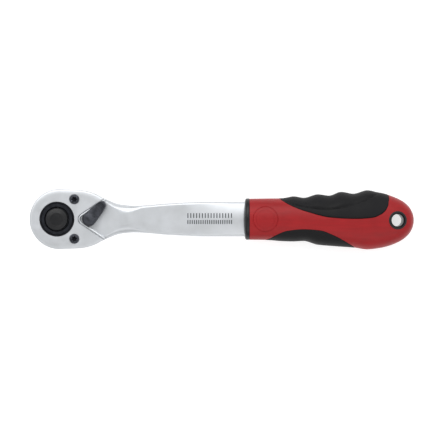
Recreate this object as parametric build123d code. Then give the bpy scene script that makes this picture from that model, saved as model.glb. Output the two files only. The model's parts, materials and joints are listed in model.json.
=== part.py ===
from build123d import *
from math import asin, cos, degrees, radians, sin
import os

# A reversible half-inch ratchet wrench, in millimetres.
# The drive axis is Z, the square points to -Z, the handle runs to +X and the lever side is up.
# The origin is on the drive axis, in the plane of the shoulder that a socket seats against.

# Overall sizes
overall_length = 265.0
head_width = 41.3
grip_length = 114.4
drive_size = 12.7
drive_length = 15.5

# Plan of the forging
head_offset = 1.8  # from the drive axis back to the centre of the round end
head_side_x = 16.5
neck_x = 53.0
neck_width = 18.5
shank_width = 24.0
shank_full_x = 98.4
# The flank from the head to the neck: share of the way along, share of the drop still to go.
flank_start = 0.943
flank_shape = [(0.208, 0.785), (0.452, 0.40), (0.734, 0.079)]

# Heights of the forging
shoulder_gap = 0.8
head_floor = 2.4
seat_z = 18.6
cover_thickness = 2.0
recess_z = 16.4
recess_end_x = 41.1
recess_end_radius = 11.0
neck_top_z = 17.2
shank_top_z = 17.6
shank_bottom_z = 4.8
belly_start_x = 24.0
neck_rise_run = 5.0
body_edge_radius = 3.0
shank_edge_radius = 3.6

# Notch around the lever
notch_radius = 4.0
notch_centre_x = 18.5
notch_half_angle = 34.0
notch_gap = 0.25
lip_width = 0.9
lip_drop = 0.2
cover_edge_radius = 1.5

# Drive wheel
tooth_count = 72
tip_radius = 14.8
tooth_depth = 0.8
tip_half_angle = 0.45
root_half_angle = 0.45
wheel_clearance = 0.4
gear_bottom_z = 3.75
gear_top_z = 14.0
lower_journal_radius = 11.1
upper_journal_radius = 10.95
journal_clearance = 0.08
hub_top_z = 21.3
hub_edge_chamfer = 0.5
hub_bore_radius = 8.1
hub_floor_z = 13.9
spring_pocket_radius = 4.6
spring_floor_z = 8.0
square_corner_radius = 8.4
square_end_chamfer = 1.2

# Rings on and around the hub
bush_wall = 0.75
bush_top_z = 20.9
boss_bottom_z = 14.3
seal_wire_radius = 0.6
seal_z = 16.9
seal_clearance = 0.03
washer_thickness = 0.5

# Quick release
button_radius = 7.5
button_top_z = 24.6
button_flange_radius = 7.95
button_flange_bottom_z = 17.0
snap_ring_z = 18.3
snap_ring_thickness = 0.85
snap_ring_inner_radius = 7.6
snap_groove_depth = 0.6
button_travel = 2.8
button_inside_z = 20.5
pin_radius = 2.15
pin_clearance = 0.05
pin_seat_radius = 1.7
pin_top_z = 22.4
pin_bottom_z = -11.0
ball_pin_gap = 0.15
ball_z = -8.0
ball_proud = 0.75
ball_travel = 0.8
ball_clearance = 0.05
spring_wire_radius = 0.4
spring_mean_radius = 3.6
spring_turns = 7

# Reverser
lever_pivot_x = 22.2
lever_angle = 47.5
lever_hub_radius = 4.8
lever_reach = 16.1
lever_tip_width = 5.4
lever_arm_bottom_z = 20.95
lever_arm_top_z = 24.2
lever_tab_height = 1.3
lever_seat_gap = 0.1
spindle_radius = 3.2
pilot_radius = 2.4
spindle_clearance = 0.05
pilot_bottom_z = 2.0
lever_seal_wire_radius = 0.35
lever_seal_z = 15.2

# Pawl and its plunger
pocket_bottom_z = 4.0
pocket_top_z = 13.9
pocket_radius = 19.3
pocket_half_angle = 39.0
pawl_outer_radius = 18.4
pawl_half_angle = 33.0
pawl_pivot_x = 18.2
pawl_rock = 4.0
pawl_end_gap = 0.2
pawl_tooth_angles = [20.0, 25.0, 30.0]
pawl_tip_clearance = 0.15
pawl_mesh_clearance = 0.25
plunger_radius = 1.25
plunger_reach = 4.4
plunger_length = 3.2
plunger_z = 9.0
plunger_sweep_gap = 0.4
plunger_bore_depth = 2.2
pawl_spring_wire_radius = 0.18
pawl_spring_mean_radius = 0.85
pawl_spring_turns = 4

# Cover screws
screw_x = 11.9
screw_y = 13.6
screw_head_radius = 3.4
screw_radius = 1.7
screw_clearance = 0.05
screw_bottom_z = 8.0
screw_socket_depth = 1.4

# Grip
collar_length = 3.6
collar_half_width = 14.3
tang_width = 18.0
tang_thickness = 9.0
tang_clear_of_hole = 4.0
pad_depth = 2.4
hole_from_end = 11.9
hole_y = -0.8
hole_radius = 4.3
hole_wall_length = 20.4
eyelet_radius = 6.3
eyelet_dish_radius = 5.2
badge_from_start = 11.6
badge_radius = 8.5
badge_groove = 0.4

# Sections of the grip: share of its length, upper side, lower side and half thickness.
grip_sections = [
    (0.0, 14.1, -14.3, 11.0),
    (0.06, 14.2, -14.4, 11.3),
    (0.124, 14.3, -14.5, 11.6),
    (0.203, 14.4, -15.2, 12.0),
    (0.268, 15.1, -15.4, 12.3),
    (0.334, 14.6, -15.1, 12.5),
    (0.421, 16.4, -17.7, 12.9),
    (0.487, 16.1, -18.4, 13.1),
    (0.559, 18.1, -19.0, 13.3),
    (0.632, 17.4, -19.6, 13.4),
    (0.72, 19.2, -21.0, 13.5),
    (0.788, 18.4, -20.2, 13.2),
    (0.841, 17.0, -18.9, 12.6),
    (0.889, 15.0, -16.9, 11.7),
    (0.934, 12.4, -14.2, 10.2),
    (0.971, 8.7, -10.4, 7.9),
    (0.993, 4.4, -6.0, 4.6),
    (1.0, 1.4, -3.0, 2.0),
]
# Edges of the soft pads: share of the grip's length and distance across it.
upper_pad_edge = [
    (0.195, 13.5),
    (0.268, 8.7),
    (0.356, 5.0),
    (0.5, 1.2),
    (0.647, 0.4),
    (0.742, 1.2),
    (0.808, 4.6),
    (0.844, 9.6),
    (0.84, 16.1),
]
lower_pad_edge = [
    (0.122, -13.9),
    (0.173, -10.8),
    (0.232, -8.3),
    (0.33, -7.2),
    (0.428, -8.0),
    (0.501, -10.8),
    (0.574, -15.0),
    (0.632, -18.9),
]

# Places that follow from the sizes above
head_radius = head_width / 2
grip_end_x = overall_length - head_radius + head_offset
grip_start_x = grip_end_x - grip_length
collar_x = grip_start_x - collar_length
grip_z = (shank_top_z + shank_bottom_z) / 2
hole_x = grip_end_x - hole_from_end
tang_end_x = hole_x - eyelet_radius - tang_clear_of_hole
top_z = seat_z + cover_thickness
lip_z = top_z - lip_drop
cavity_radius = tip_radius + wheel_clearance
cavity_floor_z = shoulder_gap + head_floor
bush_inner_radius = upper_journal_radius + journal_clearance
bush_outer_radius = bush_inner_radius + bush_wall
root_radius = tip_radius - tooth_depth
ball_radius = (drive_size / 2 + ball_proud - pin_radius - ball_pin_gap) / 2
ball_rest = drive_size / 2 + ball_proud - ball_radius
tooth_pitch = 360 / tooth_count
far = 2 * overall_length


def disc(radius, bottom, top, x=0.0, y=0.0):
    """An upright cylinder between two heights."""
    return Pos(x, y, bottom) * extrude(Circle(radius), top - bottom)


def tube(outer, inner, bottom, top, x=0.0, y=0.0):
    """An upright ring between two heights."""
    return disc(outer, bottom, top, x, y) - disc(inner, bottom, top, x, y)


def slab(plan, bottom, top):
    """A flat sketch raised between two heights."""
    return Pos(0, 0, bottom) * extrude(plan, top - bottom)


def polar(radius, angle):
    """A point in plan, from its distance to the drive axis and its angle in degrees."""
    return (radius * cos(radians(angle)), radius * sin(radians(angle)))


def turned(shape, x, angle):
    """A shape turned about the vertical line through (x, 0)."""
    return Pos(x, 0, 0) * Rot(0, 0, angle) * Pos(-x, 0, 0) * shape


def both_sides(half):
    """A half plan above the X axis joined to its mirror image."""
    return half + mirror(half, Plane.XZ)


def forging_plan():
    """Outline of head, neck and shank seen along the drive axis."""
    drop = head_radius - neck_width / 2
    run = neck_x - head_side_x
    side = (head_side_x, neck_width / 2 + flank_start * drop)
    flank = [(head_side_x + t * run, neck_width / 2 + k * drop) for t, k in flank_shape]
    neck = (neck_x, neck_width / 2)
    full = (shank_full_x, shank_width / 2)
    middle = ((neck_x + full[0]) / 2, neck[1] + 0.58 * (full[1] - neck[1]))
    crown = (head_offset, head_radius)
    lead = (side[0] - crown[0], side[1] - crown[1])
    outline = [
        CenterArc((head_offset, 0), head_radius, 90, 90),
        Line(crown, side),
        Spline([side, *flank, neck], tangents=[lead, (1, 0)]),
        Spline([neck, middle, full], tangents=[(1, 0), (1, 0.01)]),
        Line(full, (far, full[1])),
        Line((far, full[1]), (far, 0)),
        Line((far, 0), (head_offset - head_radius, 0)),
    ]
    return both_sides(make_face(outline))


def forging_side():
    """Outline of neck and shank seen from the side, with the head cut level at the neck's top."""
    belly = (belly_start_x, shoulder_gap)
    under_neck = (neck_x, shank_bottom_z)
    left = -2 * head_radius
    recess_end = (recess_end_x, neck_top_z)
    shank_start = (neck_x + neck_rise_run, shank_top_z)
    outline = [
        Line((left, neck_top_z), recess_end),
        Spline([recess_end, shank_start], tangents=[(1, 0), (1, 0)]),
        Line(shank_start, (far, shank_top_z)),
        Line((far, shank_top_z), (far, shank_bottom_z)),
        Line((far, shank_bottom_z), under_neck),
        Spline([under_neck, belly], tangents=[(-1, 0), (-1, 0)]),
        Line(belly, (left, shoulder_gap)),
        Line((left, shoulder_gap), (left, neck_top_z)),
    ]
    return make_face(outline)


def behind_notch(radius):
    """Plan of the region behind a rounded V that opens toward the handle."""
    reach = 2 * head_width
    run = (reach * cos(radians(notch_half_angle)), reach * sin(radians(notch_half_angle)))
    touch_x = notch_centre_x - radius * sin(radians(notch_half_angle))
    touch_y = radius * cos(radians(notch_half_angle))
    wedge = Polyline(
        (touch_x, touch_y),
        (touch_x + run[0], touch_y + run[1]),
        (touch_x + run[0], -touch_y - run[1]),
        (touch_x, -touch_y),
        close=True,
    )
    return make_face(wedge) + Pos(notch_centre_x, 0) * Circle(radius)


def front_of_notch(radius):
    """Plan of the head in front of the rounded V."""
    head = forging_plan() & Rectangle(3 * head_width, 3 * head_width)
    return head - behind_notch(radius)


def recess_plan():
    """Floor around the lever: behind the lip, up to a round end."""
    floor = behind_notch(notch_radius - notch_gap - lip_width)
    end_x = recess_end_x - recess_end_radius
    side = head_width
    reach = Pos(end_x - side, 0) * Rectangle(2 * side, 2 * side)
    return floor & (reach + Pos(end_x, 0) * Circle(recess_end_radius))


def pocket_plan():
    """Plan of the hollow that the pawl rocks in, with the room that the plunger sweeps."""
    fan = Polyline(
        (0, 0),
        polar(2 * pocket_radius, pocket_half_angle),
        polar(2 * pocket_radius, -pocket_half_angle),
        close=True,
    )
    sweep = Circle(plunger_reach + plunger_sweep_gap)
    return (make_face(fan) & Circle(pocket_radius)) + Pos(lever_pivot_x, 0) * sweep


def screw_places():
    """Plan positions of the two cover screws."""
    return [(screw_x, screw_y), (screw_x, -screw_y)]


def tang():
    """Flat tail of the forging that the grip is moulded over."""
    length = tang_end_x - grip_start_x
    bar = Box(length, tang_width, tang_thickness, align=(Align.MIN, Align.CENTER, Align.CENTER))
    bar = fillet(bar.edges().filter_by(Axis.X), tang_thickness / 4)
    return Pos(grip_start_x, 0, grip_z) * bar


def ratchet_body():
    """Forged head, neck, shank and tang, with the bores that hold the mechanism."""
    side = Plane.XZ * extrude(forging_side(), 2 * head_width, both=True)
    body = slab(forging_plan(), 0, 2 * top_z) & side
    body -= Pos(grip_start_x + far, 0, 0) * Box(2 * far, far, far)
    body = fillet(body.edges().group_by(Axis.Z)[0], body_edge_radius)
    rim = body.edges().filter_by(lambda e: e.bounding_box().min.Z > grip_z)
    body = fillet(rim.filter_by(lambda e: e.bounding_box().size.X > 1), shank_edge_radius)
    body += slab(front_of_notch(notch_radius - notch_gap - lip_width), grip_z, lip_z)
    body -= slab(recess_plan(), recess_z, top_z)
    body -= slab(front_of_notch(notch_radius - notch_gap), seat_z, 2 * top_z)
    body -= disc(cavity_radius, cavity_floor_z, 2 * top_z)
    body -= disc(lower_journal_radius + journal_clearance, 0, cavity_floor_z)
    body -= slab(pocket_plan(), pocket_bottom_z, pocket_top_z)
    body -= disc(spindle_radius + spindle_clearance, pocket_top_z, top_z, lever_pivot_x)
    pilot_bore = pilot_radius + spindle_clearance
    body -= disc(pilot_bore, pilot_bottom_z - lever_seat_gap, pocket_bottom_z, lever_pivot_x)
    for x, y in screw_places():
        body -= disc(screw_radius + screw_clearance, screw_bottom_z, top_z, x, y)
    return body + tang()


def cover_plate():
    """Plate screwed over the mechanism, with a boss that holds the wheel down."""
    plate = slab(front_of_notch(notch_radius), seat_z, top_z)
    rim = plate.edges().group_by(Axis.Z)[-1]
    rim = rim.filter_by(lambda e: abs(e.center().Y) > screw_y or e.center().X < 0)
    plate = fillet(rim, cover_edge_radius)
    plate += disc(cavity_radius - journal_clearance, boss_bottom_z, seat_z)
    plate -= disc(bush_outer_radius, 0, 2 * top_z)
    for x, y in screw_places():
        plate -= disc(screw_radius + screw_clearance, 0, top_z, x, y)
        plate -= screw_head(x, y)
    return plate


def screw_head(x, y):
    """Countersunk cone of a cover screw."""
    depth = screw_head_radius - screw_radius
    cone = Cone(screw_radius, screw_head_radius, depth, align=(Align.CENTER, Align.CENTER, Align.MAX))
    return Pos(x, y, top_z) * cone


def cover_screws():
    """Countersunk screws with six-lobed sockets."""
    lobe_radius = screw_radius / 5
    socket = Circle(screw_radius * 0.7)
    for spot in PolarLocations(screw_radius * 0.7, 6):
        socket += spot * Circle(lobe_radius)
    screws = []
    for x, y in screw_places():
        screw = screw_head(x, y) + disc(screw_radius, screw_bottom_z, top_z - screw_socket_depth, x, y)
        screw -= Pos(x, y, 0) * slab(socket, top_z - screw_socket_depth, 2 * top_z)
        screws.append(screw)
    return screws


def gear_plan():
    """Ratchet teeth with a gap centred on every whole pitch."""
    points = []
    for tooth in range(tooth_count):
        gap = tooth * tooth_pitch
        crest = gap + tooth_pitch / 2
        points.append(polar(root_radius, gap - root_half_angle))
        points.append(polar(root_radius, gap + root_half_angle))
        points.append(polar(tip_radius, crest - tip_half_angle))
        points.append(polar(tip_radius, crest + tip_half_angle))
    return make_face(Polyline(*points, close=True))


def square_drive():
    """Square that enters the socket, with rounded corners and a chamfered end."""
    plan = Rectangle(drive_size, drive_size) & Circle(square_corner_radius)
    square = slab(plan, -drive_length, 0)
    return chamfer(square.faces().sort_by(Axis.Z)[0].edges(), square_end_chamfer)


def drive_wheel():
    """Toothed wheel, its two journals and the square, in one piece."""
    wheel = slab(gear_plan(), gear_bottom_z, gear_top_z)
    wheel += disc(lower_journal_radius, 0, gear_bottom_z)
    hub = tube(upper_journal_radius, hub_bore_radius, gear_top_z, hub_top_z)
    wheel += chamfer(hub.edges().group_by(Axis.Z)[-1], hub_edge_chamfer)
    wheel += square_drive()
    wheel -= disc(hub_bore_radius, hub_floor_z, 2 * hub_top_z)
    wheel -= disc(spring_pocket_radius, spring_floor_z, hub_floor_z)
    wheel -= disc(pin_radius + pin_clearance, pin_bottom_z - button_travel - 1, spring_floor_z)
    groove_top = snap_ring_z + snap_ring_thickness + seal_clearance
    wheel -= disc(hub_bore_radius + snap_groove_depth, snap_ring_z - seal_clearance, groove_top)
    groove_half = seal_wire_radius + 4 * seal_clearance
    groove_floor = bush_inner_radius - 2 * seal_wire_radius - 2 * seal_clearance
    wheel -= tube(2 * tip_radius, groove_floor, seal_z - groove_half, seal_z + groove_half)
    ball_bore = extrude(Circle(ball_radius + ball_clearance), drive_size)
    return wheel - Pos(0, 0, ball_z) * Rot(90, 0, 0) * ball_bore


def hub_seal():
    """Rubber ring in the hub's groove, which gives the wheel its drag."""
    middle = bush_inner_radius - seal_wire_radius - seal_clearance
    return Pos(0, 0, seal_z) * Torus(middle, seal_wire_radius)


def button_snap_ring():
    """Open ring that keeps the button in the hub."""
    outer = hub_bore_radius + snap_groove_depth - seal_clearance
    ring = tube(outer, snap_ring_inner_radius, snap_ring_z, snap_ring_z + snap_ring_thickness)
    return ring - Pos(0, outer, snap_ring_z) * Box(outer / 3, outer, outer)


def release_button():
    """Push button with a flange that stops under the snap ring."""
    cap = disc(button_radius, button_flange_bottom_z, button_top_z)
    cap = fillet(cap.edges().group_by(Axis.Z)[-1], 1.2)
    cap += disc(button_flange_radius, button_flange_bottom_z, snap_ring_z - seal_clearance)
    cap -= disc(spring_pocket_radius, 0, button_inside_z)
    return cap - disc(pin_seat_radius, 0, pin_top_z)


def release_pin():
    """Rod under the button, with a cone that lets the ball sink when the button is pressed."""
    slope = ball_travel / button_travel
    neck_z = ball_z + button_travel + ball_travel
    neck_radius = pin_radius - slope * (neck_z - ball_z + ball_travel)
    shoulder_z = neck_z + 2 * neck_radius
    outline = Polyline(
        (0, pin_bottom_z),
        (pin_radius, pin_bottom_z),
        (pin_radius, ball_z - ball_travel),
        (neck_radius, neck_z),
        (neck_radius, shoulder_z),
        (pin_radius, shoulder_z),
        (pin_radius, button_inside_z),
        (pin_seat_radius, button_inside_z),
        (pin_seat_radius, pin_top_z),
        (0, pin_top_z),
        close=True,
    )
    return revolve(Plane.XZ * make_face(outline), Axis.Z)


def coil(wire_radius, mean_radius, turns, length):
    """Round-wire spring standing on the XY plane, within the given length."""
    rise = length - 2 * wire_radius
    path = Helix(rise / turns, rise, mean_radius)
    start = Plane(path @ 0, z_dir=path % 0)
    return Pos(0, 0, wire_radius) * sweep(start * Circle(wire_radius), path)


def release_spring():
    """Spring that pushes the button up."""
    length = button_inside_z - spring_floor_z - 2 * seal_clearance
    spring = coil(spring_wire_radius, spring_mean_radius, spring_turns, length)
    return Pos(0, 0, spring_floor_z + seal_clearance) * spring


def detent_ball():
    """Ball that holds the socket on the square."""
    return Pos(0, -ball_rest, ball_z) * Sphere(ball_radius)


def hub_bush():
    """Black ring in the cover around the turning hub."""
    ring = tube(bush_outer_radius, bush_inner_radius, boss_bottom_z, bush_top_z)
    return chamfer(ring.edges().group_by(Axis.Z)[-1], 0.2)


def thrust_washer():
    """Shim that the wheel's teeth turn on."""
    outer = cavity_radius - journal_clearance
    inner = lower_journal_radius + journal_clearance
    return tube(outer, inner, cavity_floor_z, cavity_floor_z + washer_thickness)


def toward_plunger(shape):
    """A shape laid from the spindle's axis along +Z, turned to where the plunger points."""
    along = Rot(0, 90, 0) * shape
    return Pos(lever_pivot_x, 0, plunger_z) * Rot(0, 0, lever_angle + 180) * along


def plunger_bore():
    """Cross bore in the spindle, blind behind the spring."""
    bore = disc(plunger_radius + spindle_clearance, -plunger_bore_depth, 2 * plunger_reach)
    return toward_plunger(bore)


def reverser_lever():
    """Thumb lever with its hub and the spindle that carries the plunger."""
    tip = lever_reach - lever_tip_width / 2
    lean = degrees(asin((lever_hub_radius - lever_tip_width / 2) / tip))
    side = (lever_hub_radius * sin(radians(lean)), lever_hub_radius * cos(radians(lean)))
    blade = Polyline(
        side,
        (tip + lever_tip_width / 2 * sin(radians(lean)), lever_tip_width / 2 * cos(radians(lean))),
        (tip + lever_tip_width / 2 * sin(radians(lean)), -lever_tip_width / 2 * cos(radians(lean))),
        (side[0], -side[1]),
        close=True,
    )
    plan = make_face(blade) + Circle(lever_hub_radius) + Pos(tip, 0) * Circle(lever_tip_width / 2)
    arm = slab(plan, lever_arm_bottom_z, lever_arm_top_z)
    arm = chamfer(arm.edges().group_by(Axis.Z)[-1], 0.8)
    ridge_plan = Pos(tip - lever_tip_width / 2, 0) * Rectangle(lever_tip_width, lever_tip_width)
    ridge = slab(ridge_plan, lever_arm_top_z - 0.5, lever_arm_top_z + lever_tab_height)
    arm += chamfer(ridge.edges().group_by(Axis.Z)[-1], 0.6)
    arm = Pos(lever_pivot_x, 0, 0) * Rot(0, 0, lever_angle) * arm
    hub = disc(lever_hub_radius, recess_z + lever_seat_gap, lever_arm_top_z - 0.9, lever_pivot_x)
    hub += disc(spindle_radius, pocket_bottom_z + lever_seat_gap, recess_z + 1, lever_pivot_x)
    hub += disc(pilot_radius, pilot_bottom_z, pocket_bottom_z + 1, lever_pivot_x)
    groove_half = lever_seal_wire_radius + seal_clearance
    groove = tube(
        2 * spindle_radius,
        spindle_radius - 2 * lever_seal_wire_radius,
        lever_seal_z - groove_half,
        lever_seal_z + groove_half,
        lever_pivot_x,
    )
    return arm + (hub - groove - plunger_bore())


def lever_seal():
    """Rubber ring between the spindle and its bore, which keeps grit out and the lever from flopping."""
    middle = spindle_radius - lever_seal_wire_radius + spindle_clearance - seal_clearance
    return Pos(lever_pivot_x, 0, lever_seal_z) * Torus(middle, lever_seal_wire_radius)


def pawl_plunger():
    """Round-nosed pin that presses one end of the pawl into the wheel."""
    nose = plunger_reach - plunger_radius
    pin = disc(plunger_radius, plunger_reach - plunger_length, nose)
    return toward_plunger(pin + Pos(0, 0, nose) * Sphere(plunger_radius))


def pawl_spring():
    """Spring behind the plunger."""
    length = plunger_bore_depth + plunger_reach - plunger_length - 2 * seal_clearance
    spring = coil(pawl_spring_wire_radius, pawl_spring_mean_radius, pawl_spring_turns, length)
    return toward_plunger(Pos(0, 0, seal_clearance - plunger_bore_depth) * spring)


def pawl_tooth(angle):
    """Plan of one pawl tooth, standing in a gap of the wheel."""
    rise = (tooth_pitch / 2 - tip_half_angle - root_half_angle) / tooth_depth
    tip = root_radius + pawl_tip_clearance
    base = tip_radius + pawl_tip_clearance
    half_tip = root_half_angle + (tip - root_radius) * rise - pawl_mesh_clearance
    half_base = root_half_angle + (base - root_radius) * rise - pawl_mesh_clearance
    tooth = Polyline(
        polar(tip, angle - half_tip),
        polar(tip, angle + half_tip),
        polar(base, angle + half_base),
        polar(base + tooth_depth, angle + half_base),
        polar(base + tooth_depth, angle - half_base),
        polar(base, angle - half_base),
        close=True,
    )
    return make_face(tooth)


def pawl():
    """Rocking pawl with a bank of teeth at each end, of which the plunger engages one."""
    fan = Polyline(
        (0, 0),
        polar(2 * pawl_outer_radius, pawl_half_angle),
        polar(2 * pawl_outer_radius, -pawl_half_angle),
        close=True,
    )
    plan = make_face(fan) & Circle(pawl_outer_radius)
    wheel = Circle(tip_radius + pawl_tip_clearance)
    plan -= turned(wheel, pawl_pivot_x, pawl_rock)
    plan -= turned(wheel, pawl_pivot_x, -pawl_rock)
    plan -= Pos(lever_pivot_x, 0) * Circle(plunger_reach + plunger_sweep_gap)
    for angle in pawl_tooth_angles:
        plan += turned(pawl_tooth(angle), pawl_pivot_x, -pawl_rock)
        plan += turned(pawl_tooth(-angle), pawl_pivot_x, pawl_rock)
    block = slab(plan, pocket_bottom_z + pawl_end_gap, pocket_top_z - pawl_end_gap)
    return turned(block, pawl_pivot_x, -pawl_rock)


def grip_solid(inset=0.0):
    """Grip surface as a loft of ellipses, drawn in by an inset, without ends too small for it."""
    rings = []
    for share, upper, lower, half in grip_sections:
        if half > 2 * inset:
            middle = (grip_start_x + share * grip_length, (upper + lower) / 2, grip_z)
            ring = Ellipse((upper - lower) / 2 - inset, half - inset)
            rings.append(Plane(middle, (0, 1, 0), (1, 0, 0)) * ring)
    return loft(rings)


def pad_plan(edge, side):
    """Plan of a soft pad, from its edge on the grip out past the grip's side."""
    points = [(grip_start_x + share * grip_length, across) for share, across in edge]
    start = (points[0][0] - pad_depth, side * head_width)
    end = (points[-1][0], side * head_width)
    return make_face([Spline(points), Line(points[-1], end), Line(end, start), Line(start, points[0])])


def soft_pad(outer, inner, edge, side):
    """Soft pad let into the grip, wrapping from its upper face round to its lower face."""
    return (outer & slab(pad_plan(edge, side), -far, far)) - inner


def hang_eyelet(outer):
    """Black tube that lines the hanging hole, flush with the grip and dished at both ends."""
    eyelet = outer & disc(eyelet_radius, -far, far, hole_x, hole_y)
    eyelet -= disc(hole_radius, -far, far, hole_x, hole_y)
    wall_top = grip_z + hole_wall_length / 2
    wall_bottom = grip_z - hole_wall_length / 2
    eyelet -= disc(eyelet_dish_radius, wall_top, far, hole_x, hole_y)
    return eyelet - disc(eyelet_dish_radius, -far, wall_bottom, hole_x, hole_y)


def badge_ring():
    """Shallow ring pressed into the upper face of the grip."""
    badge_x = grip_start_x + badge_from_start
    ring = tube(badge_radius, badge_radius - badge_groove, grip_z, far, badge_x)
    return ring - grip_solid(badge_groove)


def grip_collar(body):
    """Black collar where the shank enters the grip."""
    first = grip_sections[0]
    ring = Plane((collar_x, 0, grip_z), (0, 1, 0), (1, 0, 0)) * Ellipse(collar_half_width, first[3])
    collar = extrude(ring, collar_length)
    collar = fillet(collar.edges().group_by(Axis.X)[0], collar_length / 3)
    return collar - body


outer = grip_solid()
inner = grip_solid(pad_depth)
body = ratchet_body()
upper_pad = soft_pad(outer, inner, upper_pad_edge, 1)
lower_pad = soft_pad(outer, inner, lower_pad_edge, -1)
eyelet_hole = disc(eyelet_radius, -far, far, hole_x, hole_y)

nodes = {
    "ratchet_body": body,
    "cover_plate": cover_plate(),
    "cover_screws": Compound(cover_screws()),
    "hub_bush": hub_bush(),
    "thrust_washer": thrust_washer(),
    "drive_wheel": drive_wheel(),
    "hub_seal": hub_seal(),
    "button_snap_ring": button_snap_ring(),
    "release_button": release_button(),
    "release_pin": release_pin(),
    "release_spring": release_spring(),
    "detent_ball": detent_ball(),
    "reverser_lever": reverser_lever(),
    "lever_seal": lever_seal(),
    "pawl": pawl(),
    "pawl_plunger": pawl_plunger(),
    "pawl_spring": pawl_spring(),
    "grip_collar": grip_collar(body),
    "grip_core": outer - upper_pad - lower_pad - eyelet_hole - tang() - badge_ring(),
    "grip_pad_upper": upper_pad,
    "grip_pad_lower": lower_pad,
    "hang_eyelet": hang_eyelet(outer),
}

os.makedirs("parts", exist_ok=True)
for name, shape in nodes.items():
    export_step(shape, f"parts/{name}.step")
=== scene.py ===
import json
import math

import bmesh
import bpy
from mathutils import Matrix, Vector


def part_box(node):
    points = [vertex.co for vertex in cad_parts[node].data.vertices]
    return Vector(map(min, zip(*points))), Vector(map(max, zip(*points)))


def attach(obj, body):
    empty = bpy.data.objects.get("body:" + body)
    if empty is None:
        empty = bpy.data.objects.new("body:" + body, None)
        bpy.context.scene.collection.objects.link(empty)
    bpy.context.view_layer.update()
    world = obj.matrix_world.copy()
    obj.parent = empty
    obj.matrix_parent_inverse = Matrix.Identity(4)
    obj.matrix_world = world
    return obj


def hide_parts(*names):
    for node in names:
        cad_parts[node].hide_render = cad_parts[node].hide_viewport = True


bl_info = {
    "name": "Ratchet Wrench",
    "version": (1, 0, 0),
    "blender": (4, 5, 0),
    "location": "View3D > Sidebar > Wrench",
    "description": "Builds a reversible square-drive ratchet wrench around its packed frame",
    "category": "Add Mesh",
}

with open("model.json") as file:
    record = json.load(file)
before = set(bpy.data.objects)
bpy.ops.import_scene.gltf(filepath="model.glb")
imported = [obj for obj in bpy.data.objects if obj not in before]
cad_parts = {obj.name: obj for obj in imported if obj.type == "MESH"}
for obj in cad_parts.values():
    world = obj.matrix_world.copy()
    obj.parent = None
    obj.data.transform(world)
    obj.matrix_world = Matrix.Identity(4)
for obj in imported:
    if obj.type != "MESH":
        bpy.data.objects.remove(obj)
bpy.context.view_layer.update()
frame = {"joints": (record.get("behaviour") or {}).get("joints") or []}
MM = 0.001


def corner(node, which, axis):
    """One coordinate of a frame node's box, in millimetres."""
    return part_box(node)[which][axis] / MM


LOW, HIGH = 0, 1


def centre_of(node, axis):
    """Middle of a node's box along one axis, in millimetres."""
    return (corner(node, LOW, axis) + corner(node, HIGH, axis)) / 2


def half_of(node, axis):
    """Half the size of a node's box along one axis, in millimetres."""
    return (corner(node, HIGH, axis) - corner(node, LOW, axis)) / 2


# Places read from the frame, in millimetres.
HEAD_TIP_X = corner("cover_plate", LOW, 0)
HEAD_HALF = corner("cover_plate", HIGH, 1)
BODY_BOTTOM_Z = corner("ratchet_body", LOW, 2)
LIP_Z = corner("ratchet_body", HIGH, 2)
COVER_TOP_Z = corner("cover_plate", HIGH, 2)
SQUARE_END_Z = corner("drive_wheel", LOW, 2)
BUTTON_TOP_Z = corner("release_button", HIGH, 2)
COLLAR_X = corner("grip_collar", LOW, 0)
GRIP_X = corner("grip_core", LOW, 0)
GRIP_END_X = corner("grip_core", HIGH, 0)
GRIP_LENGTH = GRIP_END_X - GRIP_X
GRIP_Z = centre_of("grip_core", 2)
HOLE_X = centre_of("hang_eyelet", 0)
HOLE_Y = centre_of("hang_eyelet", 1)
EYELET_RADIUS = half_of("hang_eyelet", 0)
TANG_END_X = corner("ratchet_body", HIGH, 0)
SCREW_X = centre_of("cover_screws", 0)
SCREW_HEAD = half_of("cover_screws", 0)
SCREW_Y = corner("cover_screws", HIGH, 1) - SCREW_HEAD
SCREW_BOTTOM_Z = corner("cover_screws", LOW, 2)
JOINTS = {joint["name"]: joint for joint in frame["joints"]}
LEVER_X = JOINTS["lever_swing"]["pos_m"][0] / MM
LEVER_SWING = -JOINTS["lever_swing"]["range_deg"][0]
HEAD_CENTRE_X = HEAD_TIP_X + HEAD_HALF


# ---------------------------------------------------------------- properties


def length(name, millimetres, description):
    """A length property with its default given in millimetres."""
    return bpy.props.FloatProperty(
        name=name, description=description, default=millimetres * MM, unit="LENGTH", precision=5
    )


class WrenchSizes(bpy.types.PropertyGroup):
    """Visible sizes that the frame leaves open."""

    cover_rim_width: length("Cover rim width", 3.8, "Width of the rounded rim of the cover")
    cover_rim_drop: length("Cover rim drop", 0.35, "How far the rim rolls down")
    recess_z: length("Recess floor", 16.4, "Height of the floor around the lever")
    shank_crown: length("Shank crown", 2.0, "Rise of the shank's upper face at the grip")
    shank_edge: length("Shank edge", 4.6, "Width of the rolled lower edges of the shank")
    pad_gap: length("Pad gap", 0.22, "Groove between the soft pads and the hard core")
    pad_proud: length("Pad height", 0.12, "How far the soft pads stand above the core")
    bump_height: length("Finger bumps", 0.9, "Height of the finger bumps on the upper pad")
    badge_radius: length("Badge ring", 8.5, "Radius of the plain ring pressed into the grip")


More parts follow.
